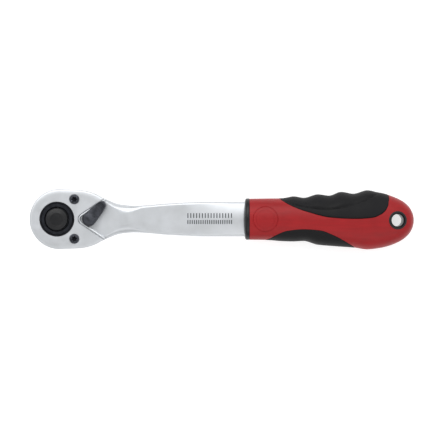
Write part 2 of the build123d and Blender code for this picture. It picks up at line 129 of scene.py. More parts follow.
class WrenchColours(bpy.types.PropertyGroup):
    """Colours of the finishes, as sRGB hex."""

    chrome: bpy.props.StringProperty(name="Chrome", description="Satin chrome plating", default="#D3D6DA")
    steel: bpy.props.StringProperty(name="Steel", description="Bright ground steel", default="#BDBFC2")
    oxide: bpy.props.StringProperty(name="Black oxide", description="Blackened steel", default="#1C1D20")
    nylon: bpy.props.StringProperty(name="Nylon", description="Moulded button", default="#101113")
    pad: bpy.props.StringProperty(name="Soft pads", description="Black elastomer", default="#0F0F11")
    core: bpy.props.StringProperty(name="Hard core", description="Red polypropylene", default="#941217")
    mark: bpy.props.StringProperty(name="Etched marks", description="Laser-etched ticks", default="#5A5D61")


def size(name):
    """One of this scene's size properties, in millimetres."""
    return getattr(bpy.context.scene.wrench_sizes, name) / MM


# ---------------------------------------------------------------- curves and meshes


def hermite(points, x):
    """Smooth value at x on a curve through rising (x, value) points, without overshoot."""
    if x <= points[0][0]:
        return points[0][1]
    if x >= points[-1][0]:
        return points[-1][1]
    rise = [(b[1] - a[1]) / (b[0] - a[0]) for a, b in zip(points, points[1:])]
    slope = [rise[0]]
    for before, after in zip(rise, rise[1:]):
        slope.append(0.0 if before * after <= 0 else 2 * before * after / (before + after))
    slope.append(rise[-1])
    i = next(k for k in range(len(points) - 1) if x <= points[k + 1][0])
    width = points[i + 1][0] - points[i][0]
    t = (x - points[i][0]) / width
    return (
        (1 + 2 * t) * (1 - t) ** 2 * points[i][1]
        + t * (1 - t) ** 2 * width * slope[i]
        + t * t * (3 - 2 * t) * points[i + 1][1]
        + t * t * (t - 1) * width * slope[i + 1]
    )


def smooth_step(low, high, x):
    """0 below low, 1 above high, smooth between."""
    t = min(max((x - low) / (high - low), 0.0), 1.0)
    return t * t * (3 - 2 * t)


def roll(distance, width, drop):
    """Drop of a rolled edge at a distance inside the outline, steepening outward."""
    return drop * min(max(1 - distance / width, 0.0), 1.0) ** 2.2


def deep_roll(distance, width, drop):
    """Drop that stays shallow inside and turns down steeply at the outline."""
    return drop * min(max(1 - distance / width, 0.0), 1.0) ** 3


def full_roll(distance, width, drop):
    """Drop of an elliptical edge that ends upright."""
    t = min(max(1 - distance / width, 0.0), 1.0)
    return drop * (1 - math.sqrt(1 - t * t))


def spread(count, low, high):
    """Evenly spaced values, ends included."""
    return [low + (high - low) * i / (count - 1) for i in range(count)]


def as_object(name, verts, faces, material, sharp=32.0):
    """Mesh object from points in millimetres, welded, with outward faces and sharp edges marked."""
    mesh = bpy.data.meshes.new(name)
    mesh.from_pydata([Vector(v) * MM for v in verts], [], faces)
    tidy_mesh(mesh, 0.0005 * MM)
    made = bpy.data.objects.new(name, mesh)
    bpy.context.scene.collection.objects.link(made)
    dress(made, material, sharp)
    return made


def tidy_mesh(mesh, weld):
    """Merges doubled points, drops empty faces and turns the faces outward."""
    work = bmesh.new()
    work.from_mesh(mesh)
    bmesh.ops.remove_doubles(work, verts=work.verts, dist=weld)
    bmesh.ops.dissolve_degenerate(work, edges=work.edges, dist=weld / 2)
    bmesh.ops.recalc_face_normals(work, faces=work.faces)
    work.to_mesh(mesh)
    work.free()


def wrapped(rings, count, joined):
    """Faces over rings of points; the rings join to a loop, or a cap closes each end."""
    faces = [] if joined else [tuple(range(count))[::-1]]
    for ring in range(rings if joined else rings - 1):
        here, there = ring * count, (ring + 1) % rings * count
        for i in range(count):
            j = (i + 1) % count
            faces.append((here + i, here + j, there + j, there + i))
    if not joined:
        faces.append(tuple(range((rings - 1) * count, rings * count)))
    return faces


def dress(made, material, sharp=32.0):
    """Gives a piece its material and smooth shading with sharp edges over an angle."""
    made.data.materials.clear()
    if material:
        made.data.materials.append(material)
    made.data.shade_smooth()
    made.data.set_sharp_from_angle(angle=math.radians(sharp))


def baked(made):
    """Applies a piece's modifiers."""
    graph = bpy.context.evaluated_depsgraph_get()
    mesh = bpy.data.meshes.new_from_object(made.evaluated_get(graph))
    made.modifiers.clear()
    made.data = mesh
    return made


def combine(made, other, operation, keep=False):
    """Boolean of two closed pieces; the second is used up."""
    step = made.modifiers.new("cut", "BOOLEAN")
    step.operation = operation
    step.solver = "MANIFOLD"
    step.object = other
    baked(made)
    if not keep:
        bpy.data.objects.remove(other)
    return made


def levels(name, rings, material=None, sharp=32.0):
    """Closed solid through rings of equally many points, each ring (height, plan points)."""
    verts = [(x, y, z) for z, plan in rings for x, y in plan]
    return as_object(name, verts, wrapped(len(rings), len(rings[0][1]), False), material, sharp)


def ring_points(radius, x=0.0, y=0.0, count=96):
    """Plan points round a circle."""
    turn = [2 * math.pi * i / count for i in range(count)]
    return [(x + radius * math.cos(a), y + radius * math.sin(a)) for a in turn]


def pillar(radius, bottom, top, x=0.0, y=0.0, count=96):
    """Upright cylinder used as a cutter."""
    plan = ring_points(radius, x, y, count)
    return levels("cutter", [(bottom, plan), (top, plan)])


def lathe(name, outline, material, count=96):
    """Solid turned about the drive axis from a closed outline of (radius, height)."""
    verts = [(r * c, r * s, z) for c, s in ring_points(1.0, count=count) for r, z in outline]
    return as_object(name, verts, wrapped(count, len(outline), True), material)


def grid_solid(name, upper, lower, material=None, sharp=32.0):
    """Closed solid between two grids of points with the same rows and columns."""
    rows, columns = len(upper), len(upper[0])
    verts = [p for line in upper for p in line] + [p for line in lower for p in line]
    under = rows * columns
    faces = []
    for i in range(rows - 1):
        for j in range(columns - 1):
            a, b = i * columns + j, (i + 1) * columns + j
            faces.append((a, b, b + 1, a + 1))
            faces.append((under + a, under + a + 1, under + b + 1, under + b))
    rim = list(range(columns)) + [i * columns + columns - 1 for i in range(1, rows)]
    rim += [(rows - 1) * columns + j for j in range(columns - 2, -1, -1)]
    rim += [i * columns for i in range(rows - 2, 0, -1)]
    for a, b in zip(rim, rim[1:] + rim[:1]):
        faces.append((a, b, under + b, under + a))
    return as_object(name, verts, faces, material, sharp)


def field_solid(name, xs, across, top, bottom):
    """Closed solid between an upper and a lower surface; across gives the y values at each x."""
    upper = [[(x, y, top(x, y)) for y in across(x)] for x in xs]
    lower = [[(x, y, bottom(x, y)) for y in across(x)] for x in xs]
    return grid_solid(name, upper, lower)


def crowded(half, count):
    """Values from -half to half that crowd toward both ends."""
    return [half * math.sin(math.pi / 2 * t) for t in spread(count, -1, 1)]


# ---------------------------------------------------------------- materials


def linear(hex_colour):
    """Linear RGBA from an sRGB hex colour."""
    shares = [int(hex_colour.lstrip("#")[i : i + 2], 16) / 255 for i in (0, 2, 4)]
    return (*[s / 12.92 if s <= 0.04045 else ((s + 0.055) / 1.055) ** 2.4 for s in shares], 1.0)


def add(tree, kind, inputs=(), **settings):
    """Adds a node with its settings; an input given as a socket is linked."""
    made = tree.nodes.new(kind)
    for name, value in settings.items():
        setattr(made, name, value)
    for name, value in dict(inputs).items():
        if isinstance(value, bpy.types.NodeSocket):
            tree.links.new(value, made.inputs[name])
        else:
            made.inputs[name].default_value = value
    return made


def blank_material(name):
    """Empty material, its shader and the object coordinates, scaled to millimetres."""
    material = bpy.data.materials.new(name)
    material.use_nodes = True
    tree = material.node_tree
    tree.nodes.clear()
    shader = add(tree, "ShaderNodeBsdfPrincipled")
    add(tree, "ShaderNodeOutputMaterial", {"Surface": shader.outputs["BSDF"]})
    where = add(tree, "ShaderNodeTexCoord").outputs["Object"]
    in_mm = add(tree, "ShaderNodeMapping", {"Vector": where, "Scale": (1 / MM,) * 3})
    return material, tree, shader, in_mm.outputs["Vector"]


def mottle(tree, place, size, detail=3.0, rough=0.6):
    """Soft noise whose patches are about size millimetres across."""
    wanted = {"Vector": place, "Scale": 1 / size, "Detail": detail, "Roughness": rough}
    return add(tree, "ShaderNodeTexNoise", wanted).outputs["Fac"]


def remap(tree, value, low, high, start=0.3, end=0.7):
    """Value spread from the range start..end to low..high."""
    wanted = {"Value": value, "From Min": start, "From Max": end, "To Min": low, "To Max": high}
    return add(tree, "ShaderNodeMapRange", wanted).outputs["Result"]


def tint(tree, share, first, second):
    """Colour mixed from two hex colours by a share."""
    wanted = {"Fac": share, "Color1": linear(first), "Color2": linear(second)}
    return add(tree, "ShaderNodeMixRGB", wanted).outputs["Color"]


def summed(tree, values):
    """Sum of several values."""
    total = values[0]
    for more in values[1:]:
        total = add(tree, "ShaderNodeMath", {0: total, 1: more}, operation="ADD").outputs[0]
    return total


def relief(tree, heights, strength, distance):
    """Bump normal from the sum of several heights, distance in millimetres."""
    wanted = {"Height": summed(tree, heights), "Strength": strength, "Distance": distance * MM}
    return add(tree, "ShaderNodeBump", wanted).outputs["Normal"]


def scaled(tree, value, factor):
    """Value times a factor."""
    return add(tree, "ShaderNodeMath", {0: value, 1: factor}, operation="MULTIPLY").outputs[0]


def edge_share(tree, low, high):
    """1 on convex edges and 0 elsewhere, from the mesh's own curvature."""
    point = add(tree, "ShaderNodeNewGeometry").outputs["Pointiness"]
    return remap(tree, point, 0.0, 1.0, low, high)


def darker(hex_colour, share):
    """The same hue with a share of its brightness."""
    parts = [int(hex_colour.lstrip("#")[i : i + 2], 16) for i in (0, 2, 4)]
    return "#" + "".join(f"{min(255, round(p * share)):02X}" for p in parts)


def shades(tree, cloud, colour, low, high):
    """Colour that drifts between two shares of its brightness."""
    return tint(tree, remap(tree, cloud, 0, 1), darker(colour, low), darker(colour, high))


def satin_chrome():
    """Satin chrome plate over a shot-blasted forging: pale, softly spread highlights."""
    material, tree, shader, place = blank_material("chrome_plate")
    colour = bpy.context.scene.wrench_colours.chrome
    cloud = mottle(tree, place, 9.0)
    # The blasted grain is about 0.1 mm across; it is drawn at 0.45 mm so that it shows.
    grain = mottle(tree, place, 0.45, 2.0, 0.5)
    # Handling marks: long faint scratches along the tool.
    along = add(tree, "ShaderNodeMapping", {"Vector": place, "Scale": (0.05, 2.2, 2.2)})
    hairs = mottle(tree, along.outputs["Vector"], 0.8, 4.0, 0.7)
    shader.inputs["Metallic"].default_value = 1.0
    blotch = remap(tree, cloud, 0.35, 0.42)
    fine = remap(tree, hairs, -0.03, 0.04)
    tree.links.new(summed(tree, [blotch, fine]), shader.inputs["Roughness"])
    heights = [grain, scaled(tree, hairs, 0.35)]
    tree.links.new(relief(tree, heights, 0.10, 0.05), shader.inputs["Normal"])
    # Painted shade in the seams: ambient occlusion darkens the colour toward near-black in the narrow gaps
    # beside the lip, the screws and the collar.
    shade = add(tree, "ShaderNodeAmbientOcclusion", {"Distance": 0.8 * MM}, samples=6).outputs["AO"]
    seam = remap(tree, shade, 1, 0, 0.2, 0.46)
    plate = shades(tree, cloud, colour, 0.965, 1.0)
    seam_shaded = add(tree, "ShaderNodeMixRGB", {"Fac": seam, "Color1": plate, "Color2": linear("#0B0B0C")})
    tree.links.new(seam_shaded.outputs["Color"], shader.inputs["Base Color"])
    return material


def black_oxide(name, colour, rough):
    """Blackened steel, lightly oiled, rubbed bright along its edges."""
    material, tree, shader, place = blank_material(name)
    cloud = mottle(tree, place, 2.5)
    grain = mottle(tree, place, 0.3, 2.0, 0.5)
    base = shades(tree, cloud, colour, 0.8, 1.15)
    rubbed = scaled(tree, edge_share(tree, 0.54, 0.62), 0.35)
    wanted = {"Fac": rubbed, "Color1": base, "Color2": linear(darker(colour, 2.6))}
    worn = add(tree, "ShaderNodeMixRGB", wanted).outputs["Color"]
    shader.inputs["Metallic"].default_value = 0.65
    tree.links.new(worn, shader.inputs["Base Color"])
    tree.links.new(remap(tree, cloud, rough - 0.06, rough + 0.06), shader.inputs["Roughness"])
    tree.links.new(relief(tree, [grain], 0.2, 0.05), shader.inputs["Normal"])
    return material


def bright_steel():
    """Ground steel: fine turned lines round the drive axis, mirror-like between them."""
    material, tree, shader, place = blank_material("bright_steel")
    colour = bpy.context.scene.wrench_colours.steel
    cloud = mottle(tree, place, 3.0)
    lines = add(
        tree,
        "ShaderNodeTexWave",
        {"Vector": place, "Scale": 1.2, "Distortion": 1.5, "Detail": 3.0},
        wave_type="RINGS",
        rings_direction="Z",
    ).outputs["Fac"]
    shader.inputs["Metallic"].default_value = 1.0
    tree.links.new(shades(tree, cloud, colour, 0.9, 1.0), shader.inputs["Base Color"])
    tree.links.new(remap(tree, cloud, 0.2, 0.3), shader.inputs["Roughness"])
    tree.links.new(relief(tree, [lines], 0.12, 0.03), shader.inputs["Normal"])
    return material


def drive_steel():
    """Drive wheel: ground steel on the square, blackened on the hub that shows in the cover."""
    material, tree, shader, place = blank_material("drive_steel")
    colours = bpy.context.scene.wrench_colours
    cloud = mottle(tree, place, 3.0)
    grain = mottle(tree, place, 0.3, 2.0, 0.5)
    height = add(tree, "ShaderNodeSeparateXYZ", {"Vector": place}).outputs["Z"]
    black = remap(tree, height, 0, 1, 13.5, 14.5)
    steel = shades(tree, cloud, colours.steel, 0.9, 1.0)
    oxide = shades(tree, cloud, colours.oxide, 1.35, 1.85)
    wanted = {"Fac": black, "Color1": steel, "Color2": oxide}
    tree.links.new(add(tree, "ShaderNodeMixRGB", wanted).outputs["Color"], shader.inputs["Base Color"])
    shader.inputs["Metallic"].default_value = 1.0
    rough = summed(tree, [remap(tree, cloud, 0.2, 0.3), scaled(tree, black, 0.12)])
    tree.links.new(rough, shader.inputs["Roughness"])
    tree.links.new(relief(tree, [grain], 0.15, 0.04), shader.inputs["Normal"])
    return material


def moulded_nylon():
    """Injection-moulded black nylon: satin skin with a faint flow pattern."""
    material, tree, shader, place = blank_material("moulded_nylon")
    colour = bpy.context.scene.wrench_colours.nylon
    cloud = mottle(tree, place, 4.0)
    grain = mottle(tree, place, 0.35, 2.0, 0.5)
    shader.inputs["IOR"].default_value = 1.53
    shader.inputs["Specular IOR Level"].default_value = 0.32
    base = shades(tree, cloud, colour, 0.85, 1.25)
    tree.links.new(base, shader.inputs["Base Color"])
    tree.links.new(remap(tree, cloud, 0.26, 0.36), shader.inputs["Roughness"])
    tree.links.new(relief(tree, [grain], 0.16, 0.04), shader.inputs["Normal"])
    return material


def soft_elastomer():
    """Black thermoplastic elastomer from a spark-eroded mould: matt, with a fine even grain."""
    material, tree, shader, place = blank_material("soft_elastomer")
    colour = bpy.context.scene.wrench_colours.pad
    cloud = mottle(tree, place, 12.0)
    # Spark-eroded pits are about 0.1 mm across; they are drawn at 0.5 mm so that they show.
    pits = add(tree, "ShaderNodeTexVoronoi", {"Vector": place, "Scale": 2.0}).outputs["Distance"]
    grain = mottle(tree, place, 0.5, 2.0, 0.6)
    shader.inputs["IOR"].default_value = 1.5
    shader.inputs["Specular IOR Level"].default_value = 0.2
    base = shades(tree, cloud, colour, 0.9, 1.15)
    tree.links.new(base, shader.inputs["Base Color"])
    tree.links.new(remap(tree, cloud, 0.5, 0.62), shader.inputs["Roughness"])
    tree.links.new(relief(tree, [scaled(tree, pits, 0.6), grain], 0.25, 0.08), shader.inputs["Normal"])
    return material


def red_core():
    """Glass-filled polypropylene, moulded red: satin, with a faint leathery grain and flow marks."""
    material, tree, shader, place = blank_material("red_polypropylene")
    colour = bpy.context.scene.wrench_colours.core
    cloud = mottle(tree, place, 16.0)
    # Flow marks trail along the grip from the gate at the collar.
    flow = add(tree, "ShaderNodeMapping", {"Vector": place, "Scale": (0.03, 0.25, 0.25)})
    streak = mottle(tree, flow.outputs["Vector"], 0.6, 3.0, 0.6)
    grain = mottle(tree, place, 0.55, 2.0, 0.55)
    shader.inputs["IOR"].default_value = 1.49
    shader.inputs["Specular IOR Level"].default_value = 0.3
    share = remap(tree, summed(tree, [cloud, streak]), 0, 1, 0.7, 1.3)
    base = tint(tree, share, darker(colour, 0.93), darker(colour, 1.05))
    tree.links.new(base, shader.inputs["Base Color"])
    tree.links.new(remap(tree, cloud, 0.38, 0.48), shader.inputs["Roughness"])
    tree.links.new(relief(tree, [grain, scaled(tree, streak, 0.3)], 0.18, 0.07), shader.inputs["Normal"])
    return material


def etched_mark():
    """Laser etching: dull grey with a slightly uneven tone."""
    material, tree, shader, place = blank_material("etched_mark")
    colour = bpy.context.scene.wrench_colours.mark
    cloud = mottle(tree, place, 0.6)
    shader.inputs["Metallic"].default_value = 0.5
    tree.links.new(shades(tree, cloud, colour, 0.85, 1.15), shader.inputs["Base Color"])
    tree.links.new(remap(tree, cloud, 0.55, 0.75), shader.inputs["Roughness"])
    tree.links.new(relief(tree, [mottle(tree, place, 0.2)], 0.2, 0.03), shader.inputs["Normal"])
    return material


FINISHES = {}


def finishes():
    """Every finish of the wrench by its name, made once."""
    if not FINISHES:
        colours = bpy.context.scene.wrench_colours
        FINISHES["chrome"] = satin_chrome()
        FINISHES["oxide"] = black_oxide("blackened_steel", colours.oxide, 0.36)
        FINISHES["lever"] = black_oxide("blackened_lever", darker(colours.oxide, 2.1), 0.32)
        FINISHES["steel"] = bright_steel()
        FINISHES["drive"] = drive_steel()
        FINISHES["nylon"] = moulded_nylon()
        FINISHES["pad"] = soft_elastomer()
        FINISHES["core"] = red_core()
        FINISHES["mark"] = etched_mark()
    return FINISHES


# ---------------------------------------------------------------- forged body and cover

# Half width of the forging at each x, from the head's side to the full shank.
FLANK = [
    (HEAD_CENTRE_X, HEAD_HALF),
    (16.5, 20.0),
    (24.1, 18.2),
    (33.0, 13.8),
    (43.3, 10.15),
    (53.0, 9.25),
    (62.6, 9.75),
    (75.7, 10.9),
    (98.4, 12.0),
]
# Height of the underside and of the upper face behind the head.
BELLY = [(22.0, BODY_BOTTOM_Z), (33.0, 2.4), (44.0, 4.3), (56.0, 4.8)]
NECK_TOP = [(30.0, 17.0), (41.0, 17.1), (62.0, 17.6), (110.0, 17.6), (129.0, 16.7)]
# Width and drop of the rolled upper edges behind the head.
NECK_ROLL = [(30.0, 3.8), (37.0, 6.6), (43.0, 7.8), (50.0, 5.8), (60.0, 2.0), (100.0, 1.8), (129.0, 2.4)]
NECK_DROP = [(30.0, 1.3), (37.0, 2.6), (43.0, 3.4), (50.0, 2.7), (60.0, 1.5), (100.0, 1.4), (129.0, 1.2)]
NOTCH_X = 18.5
NOTCH_ANGLE = math.radians(34.0)
COVER_NOTCH = 4.12
SINK_GAP = 0.3
LIP_OUTER = 3.5
LIP_INNER = 2.6
SEAT_Z = 18.6
RECESS_END_X = 30.1
RECESS_END_RADIUS = 11.0
RECESS_BLEND = 9.0
TANG_HALF = 9.0
TANG_THICKNESS = 9.0


def body_half(x):
    """Half width of the forging at x."""
    if x < HEAD_CENTRE_X:
        return math.sqrt(max(HEAD_HALF**2 - (x - HEAD_CENTRE_X) ** 2, 0.0))
    into_grip = smooth_step(GRIP_X, GRIP_X + 0.8, x)
    return hermite(FLANK, x) * (1 - into_grip) + TANG_HALF * into_grip


def from_edge(x, y):
    """Distance of a plan point inside the forging's outline."""
    if x < HEAD_CENTRE_X:
        return HEAD_HALF - math.hypot(x - HEAD_CENTRE_X, y)
    slope = body_half(x + 0.5) - body_half(x - 0.5) if x < GRIP_X - 1 else 0.0
    return (body_half(x) - abs(y)) / math.hypot(1, slope)


def rim_drop(x, y):
    """How far the head's rim lies below its middle: a soft roll and a small edge radius."""
    inside = from_edge(x, y)
    return roll(inside, size("cover_rim_width"), size("cover_rim_drop")) + roll(inside, 0.9, 0.5)


def neck_face(x, y):
    """Upper face of neck and shank, with the floor around the lever let into it."""
    half = body_half(x)
    tang = smooth_step(GRIP_X, GRIP_X + 0.8, x)
    level = hermite(NECK_TOP, x) * (1 - tang) + (GRIP_Z + TANG_THICKNESS / 2) * tang
    crown = size("shank_crown") * smooth_step(80.0, 128.0, x) * (1 - tang) * (y / half) ** 2
    level -= crown + deep_roll(from_edge(x, y), hermite(NECK_ROLL, x), hermite(NECK_DROP, x))
    reach = math.hypot(max(x - RECESS_END_X, 0.0), y)
    floor = 1 - smooth_step(RECESS_END_RADIUS, RECESS_END_RADIUS + RECESS_BLEND, reach)
    return level + (min(size("recess_z"), level) - level) * floor


def belly_face(x, y):
    """Underside of head, neck and shank."""
    tang = smooth_step(GRIP_X, GRIP_X + 0.8, x)
    edge = 2.6 + (size("shank_edge") - 2.6) * smooth_step(30.0, 50.0, x)
    level = hermite(BELLY, x) * (1 - tang) + (GRIP_Z - TANG_THICKNESS / 2) * tang
    return level + full_roll(from_edge(x, y), edge, edge * 0.9)


def body_rows():
    """Stations along the forging, close together round the head's end and at the neck."""
    head = [HEAD_CENTRE_X - HEAD_HALF * math.cos(a) for a in spread(36, 0, math.pi / 2)]
    neck = spread(70, HEAD_CENTRE_X + 1, 62.0)
    shank = spread(24, 65.0, GRIP_X - 0.2)
    tail = spread(6, GRIP_X, GRIP_X + 0.8) + [TANG_END_X - 30, TANG_END_X]
    return head + neck + shank + tail


def behind_notch(radius, far):
    """Plan points of the region behind a rounded V that opens toward the handle."""
    angles = spread(25, math.pi / 2 + NOTCH_ANGLE, 1.5 * math.pi - NOTCH_ANGLE)
    arc = [(NOTCH_X + radius * math.cos(a), radius * math.sin(a)) for a in angles]
    side = arc[0][1] + (far - arc[0][0]) * math.tan(NOTCH_ANGLE)
    return arc + [(far, -side), (far, side)]


def front_of_notch(radius, far):
    """Plan points of the region in front of the same V, wider than the head."""
    vee = behind_notch(radius, far)
    left = 2 * HEAD_TIP_X
    return [*vee[:-2][::-1], vee[-1], (left, vee[-1][1]), (left, vee[-2][1]), vee[-2]]


def forged_body(material):
    """Head, neck, shank and tang with rolled edges, the lever's recess and the inner bores."""
    far = TANG_END_X + 10

    def across(x):
        return crowded(body_half(x), 61)

    def across_wide(x):
        half = body_half(x)
        return [-half - 9, *crowded(half + 0.004, 61), half + 9]

    def clipped(x, y):
        half = body_half(x)
        return neck_face(x, min(max(y, -half), half))

    def lip_face(x, y):
        return LIP_Z - rim_drop(x, y)

    body = field_solid("forged_body", body_rows(), across, lip_face, belly_face)
    rows = [x for x in body_rows() if x > HEAD_CENTRE_X] + [far]
    above = field_solid("above", rows, across_wide, lambda x, y: 2 * LIP_Z, clipped)
    # The lip's top is crowned: it slopes gently to the recess and to the cover.
    flare = 0.2
    lean = (LIP_OUTER - LIP_INNER) / 2 / flare
    vee = levels(
        "vee",
        [
            (BODY_BOTTOM_Z - 9, behind_notch(LIP_INNER, far + 9)),
            (LIP_Z - flare, behind_notch(LIP_INNER, far + 9)),
            (3 * LIP_Z, behind_notch(LIP_INNER + (2 * LIP_Z + flare) * lean, far + 9)),
        ],
    )
    combine(above, vee, "INTERSECT")
    combine(body, above, "DIFFERENCE")
    seat = [
        (SEAT_Z, LIP_OUTER),
        (LIP_Z - flare, LIP_OUTER),
        (LIP_Z + 3 * flare, LIP_OUTER - 4 * flare * lean),
    ]
    combine(body, levels("seat", [(z, front_of_notch(r, 62.0)) for z, r in seat]), "DIFFERENCE")
    for cutter in inner_bores():
        combine(body, cutter, "DIFFERENCE")
    dress(body, material, 28.0)
    return body


# Bores inside the head, in millimetres.
CAVITY_RADIUS = 15.2
CAVITY_FLOOR_Z = 3.2
JOURNAL_RADIUS = 11.2
POCKET_RADIUS = 19.3
POCKET_ANGLE = 0.68
POCKET_START_X = 6.0
POCKET_TOP_Z = 13.9
SCREW_BORE = 1.77
# Steps of the lever's bore: radius, bottom and top.
SPINDLE_BORES = [(4.8, 4.02, 13.88), (3.27, 12.0, 2 * LIP_Z), (2.47, 1.85, 5.0)]


def inner_bores():
    """Cutters for the wheel's cavity, the pawl's pocket, the lever's bore and the screw holes."""
    angles = spread(15, -POCKET_ANGLE, POCKET_ANGLE)
    arc = [(POCKET_RADIUS * math.cos(a), POCKET_RADIUS * math.sin(a)) for a in angles]
    side = CAVITY_RADIUS * math.sin(POCKET_ANGLE)
    pocket = [(POCKET_START_X, -side), *arc, (POCKET_START_X, side)]
    cutters = [
        pillar(CAVITY_RADIUS, CAVITY_FLOOR_Z, 2 * LIP_Z),
        pillar(JOURNAL_RADIUS, -2.0, 4.0),
        levels("pocket", [(4.0, pocket), (POCKET_TOP_Z, pocket)]),
        *(pillar(radius, bottom, top, LEVER_X) for radius, bottom, top in SPINDLE_BORES),
    ]
    for side in (1, -1):
        cutters.append(pillar(SCREW_BORE, SCREW_BOTTOM_Z - 0.1, 2 * LIP_Z, SCREW_X, side * SCREW_Y, 40))
    return cutters


# Hole of the hub in the cover, and the boss round it under the plate.
HUB_HOLE = 11.76
BOSS_RADIUS = 15.1
BOSS_BOTTOM_Z = 14.3


def cover_plate(material):
    """Cover with a softly rolled rim, a V notch, the hub's hole and two countersinks."""
    rows = [x for x in body_rows() if x < 40.0]

    def across(x):
        return crowded(body_half(x), 61)

    def top(x, y):
        return COVER_TOP_Z - rim_drop(x, y)

    plate = field_solid("cover_plate_finished", rows, across, top, lambda x, y: SEAT_Z + 0.02)
    chamfer = 0.12
    vee = levels(
        "vee",
        [
            (0.0, behind_notch(COVER_NOTCH, 80.0)),
            (COVER_TOP_Z - chamfer, behind_notch(COVER_NOTCH, 80.0)),
            (2 * COVER_TOP_Z, behind_notch(COVER_NOTCH + COVER_TOP_Z + chamfer, 80.0)),
        ],
    )
    combine(plate, vee, "DIFFERENCE")
    hole = [(HUB_HOLE, 0.0), (HUB_HOLE, COVER_TOP_Z - 0.3), (13.0, COVER_TOP_Z + 0.94)]
    combine(plate, levels("hole", [(z, ring_points(r, count=128)) for r, z in hole]), "DIFFERENCE")
    for side in (1, -1):
        sink = [
            (1.8, 0.0),
            (1.8, COVER_TOP_Z - SCREW_HEAD - 0.06 + 1.7),
            (SCREW_HEAD + SINK_GAP, COVER_TOP_Z + 0.06),
            (SCREW_HEAD + SINK_GAP, COVER_TOP_Z + 3),
        ]
        rings = [(z, ring_points(r, SCREW_X, side * SCREW_Y, 64)) for r, z in sink]
        combine(plate, levels("sink", rings), "DIFFERENCE")
    boss_top = SEAT_Z + 0.3
    boss = [
        (HUB_HOLE, BOSS_BOTTOM_Z),
        (BOSS_RADIUS, BOSS_BOTTOM_Z),
        (BOSS_RADIUS, boss_top),
        (HUB_HOLE, boss_top),
    ]
    combine(plate, lathe("boss", boss, None, 128), "UNION")
    dress(plate, material, 28.0)
    return plate


# ---------------------------------------------------------------- repeated pieces by Geometry Nodes


def new_tree(name, inputs):
    """Geometry Nodes tree with named inputs, given as (label, socket type, default)."""
    tree = bpy.data.node_groups.new(name, "GeometryNodeTree")
    for label, kind, value in inputs:
        socket = tree.interface.new_socket(label, in_out="INPUT", socket_type=kind)
        if value is not None:
            socket.default_value = value
    tree.interface.new_socket("Geometry", in_out="OUTPUT", socket_type="NodeSocketGeometry")
    return tree, tree.nodes.new("NodeGroupInput").outputs


def end_tree(tree, geometry, finish):
    """Closes a tree: real geometry with one finish."""
    real = add(tree, "GeometryNodeRealizeInstances", {"Geometry": geometry})
    done = add(tree, "GeometryNodeSetMaterial", {"Geometry": real.outputs["Geometry"], "Material": finish})
    add(tree, "NodeGroupOutput", {"Geometry": done.outputs["Geometry"]})


def grown(name, tree, values):
    """Plain mesh object grown by a Geometry Nodes tree with the given input values."""
    made = bpy.data.objects.new(name, bpy.data.meshes.new(name))
    bpy.context.scene.collection.objects.link(made)
    step = made.modifiers.new("grow", "NODES")
    step.node_group = tree
    for item in tree.interface.items_tree:
        if item.in_out == "INPUT" and item.name in values:
            step[item.identifier] = values[item.name]
    baked(made)
    finish = made.data.materials[0]
    tidy_mesh(made.data, 0.0005 * MM)
    dress(made, finish)
    return made


def row_tree():
    """Tree that repeats a pattern piece along a straight row, each one turned a little further."""
    tree, given = new_tree(
        "row_of_pieces",
        [
            ("Pattern", "NodeSocketObject", None),
            ("Count", "NodeSocketInt", 2),
            ("Start", "NodeSocketVector", None),
            ("Step", "NodeSocketVector", None),
            ("Turn", "NodeSocketFloat", 0.0),
            ("Finish", "NodeSocketMaterial", None),
        ],
    )
    line = add(
        tree,
        "GeometryNodeMeshLine",
        {"Count": given["Count"], "Start Location": given["Start"], "Offset": given["Step"]},
    )
    pattern = add(tree, "GeometryNodeObjectInfo", {"Object": given["Pattern"]})
    number = add(tree, "GeometryNodeInputIndex").outputs["Index"]
    turn = add(tree, "ShaderNodeMath", {0: number, 1: given["Turn"]}, operation="MULTIPLY").outputs[0]
    about = add(tree, "ShaderNodeCombineXYZ", {"Z": turn}).outputs["Vector"]
    wanted = {"Points": line.outputs["Mesh"], "Instance": pattern.outputs["Geometry"], "Rotation": about}
    placed = add(tree, "GeometryNodeInstanceOnPoints", wanted)
    end_tree(tree, placed.outputs["Instances"], given["Finish"])
    return tree


def row(name, pattern, count, start, step, finish, turn=0.0):
    """A row of copies of a pattern piece as one mesh; the pattern is used up."""
    tree = bpy.data.node_groups.get("row_of_pieces") or row_tree()
    values = {
        "Pattern": pattern,
        "Count": count,
        "Start": [c * MM for c in start],
        "Step": [c * MM for c in step],
        "Turn": turn,
        "Finish": finish,
    }
    made = grown(name, tree, values)
    bpy.data.objects.remove(pattern)
    return made


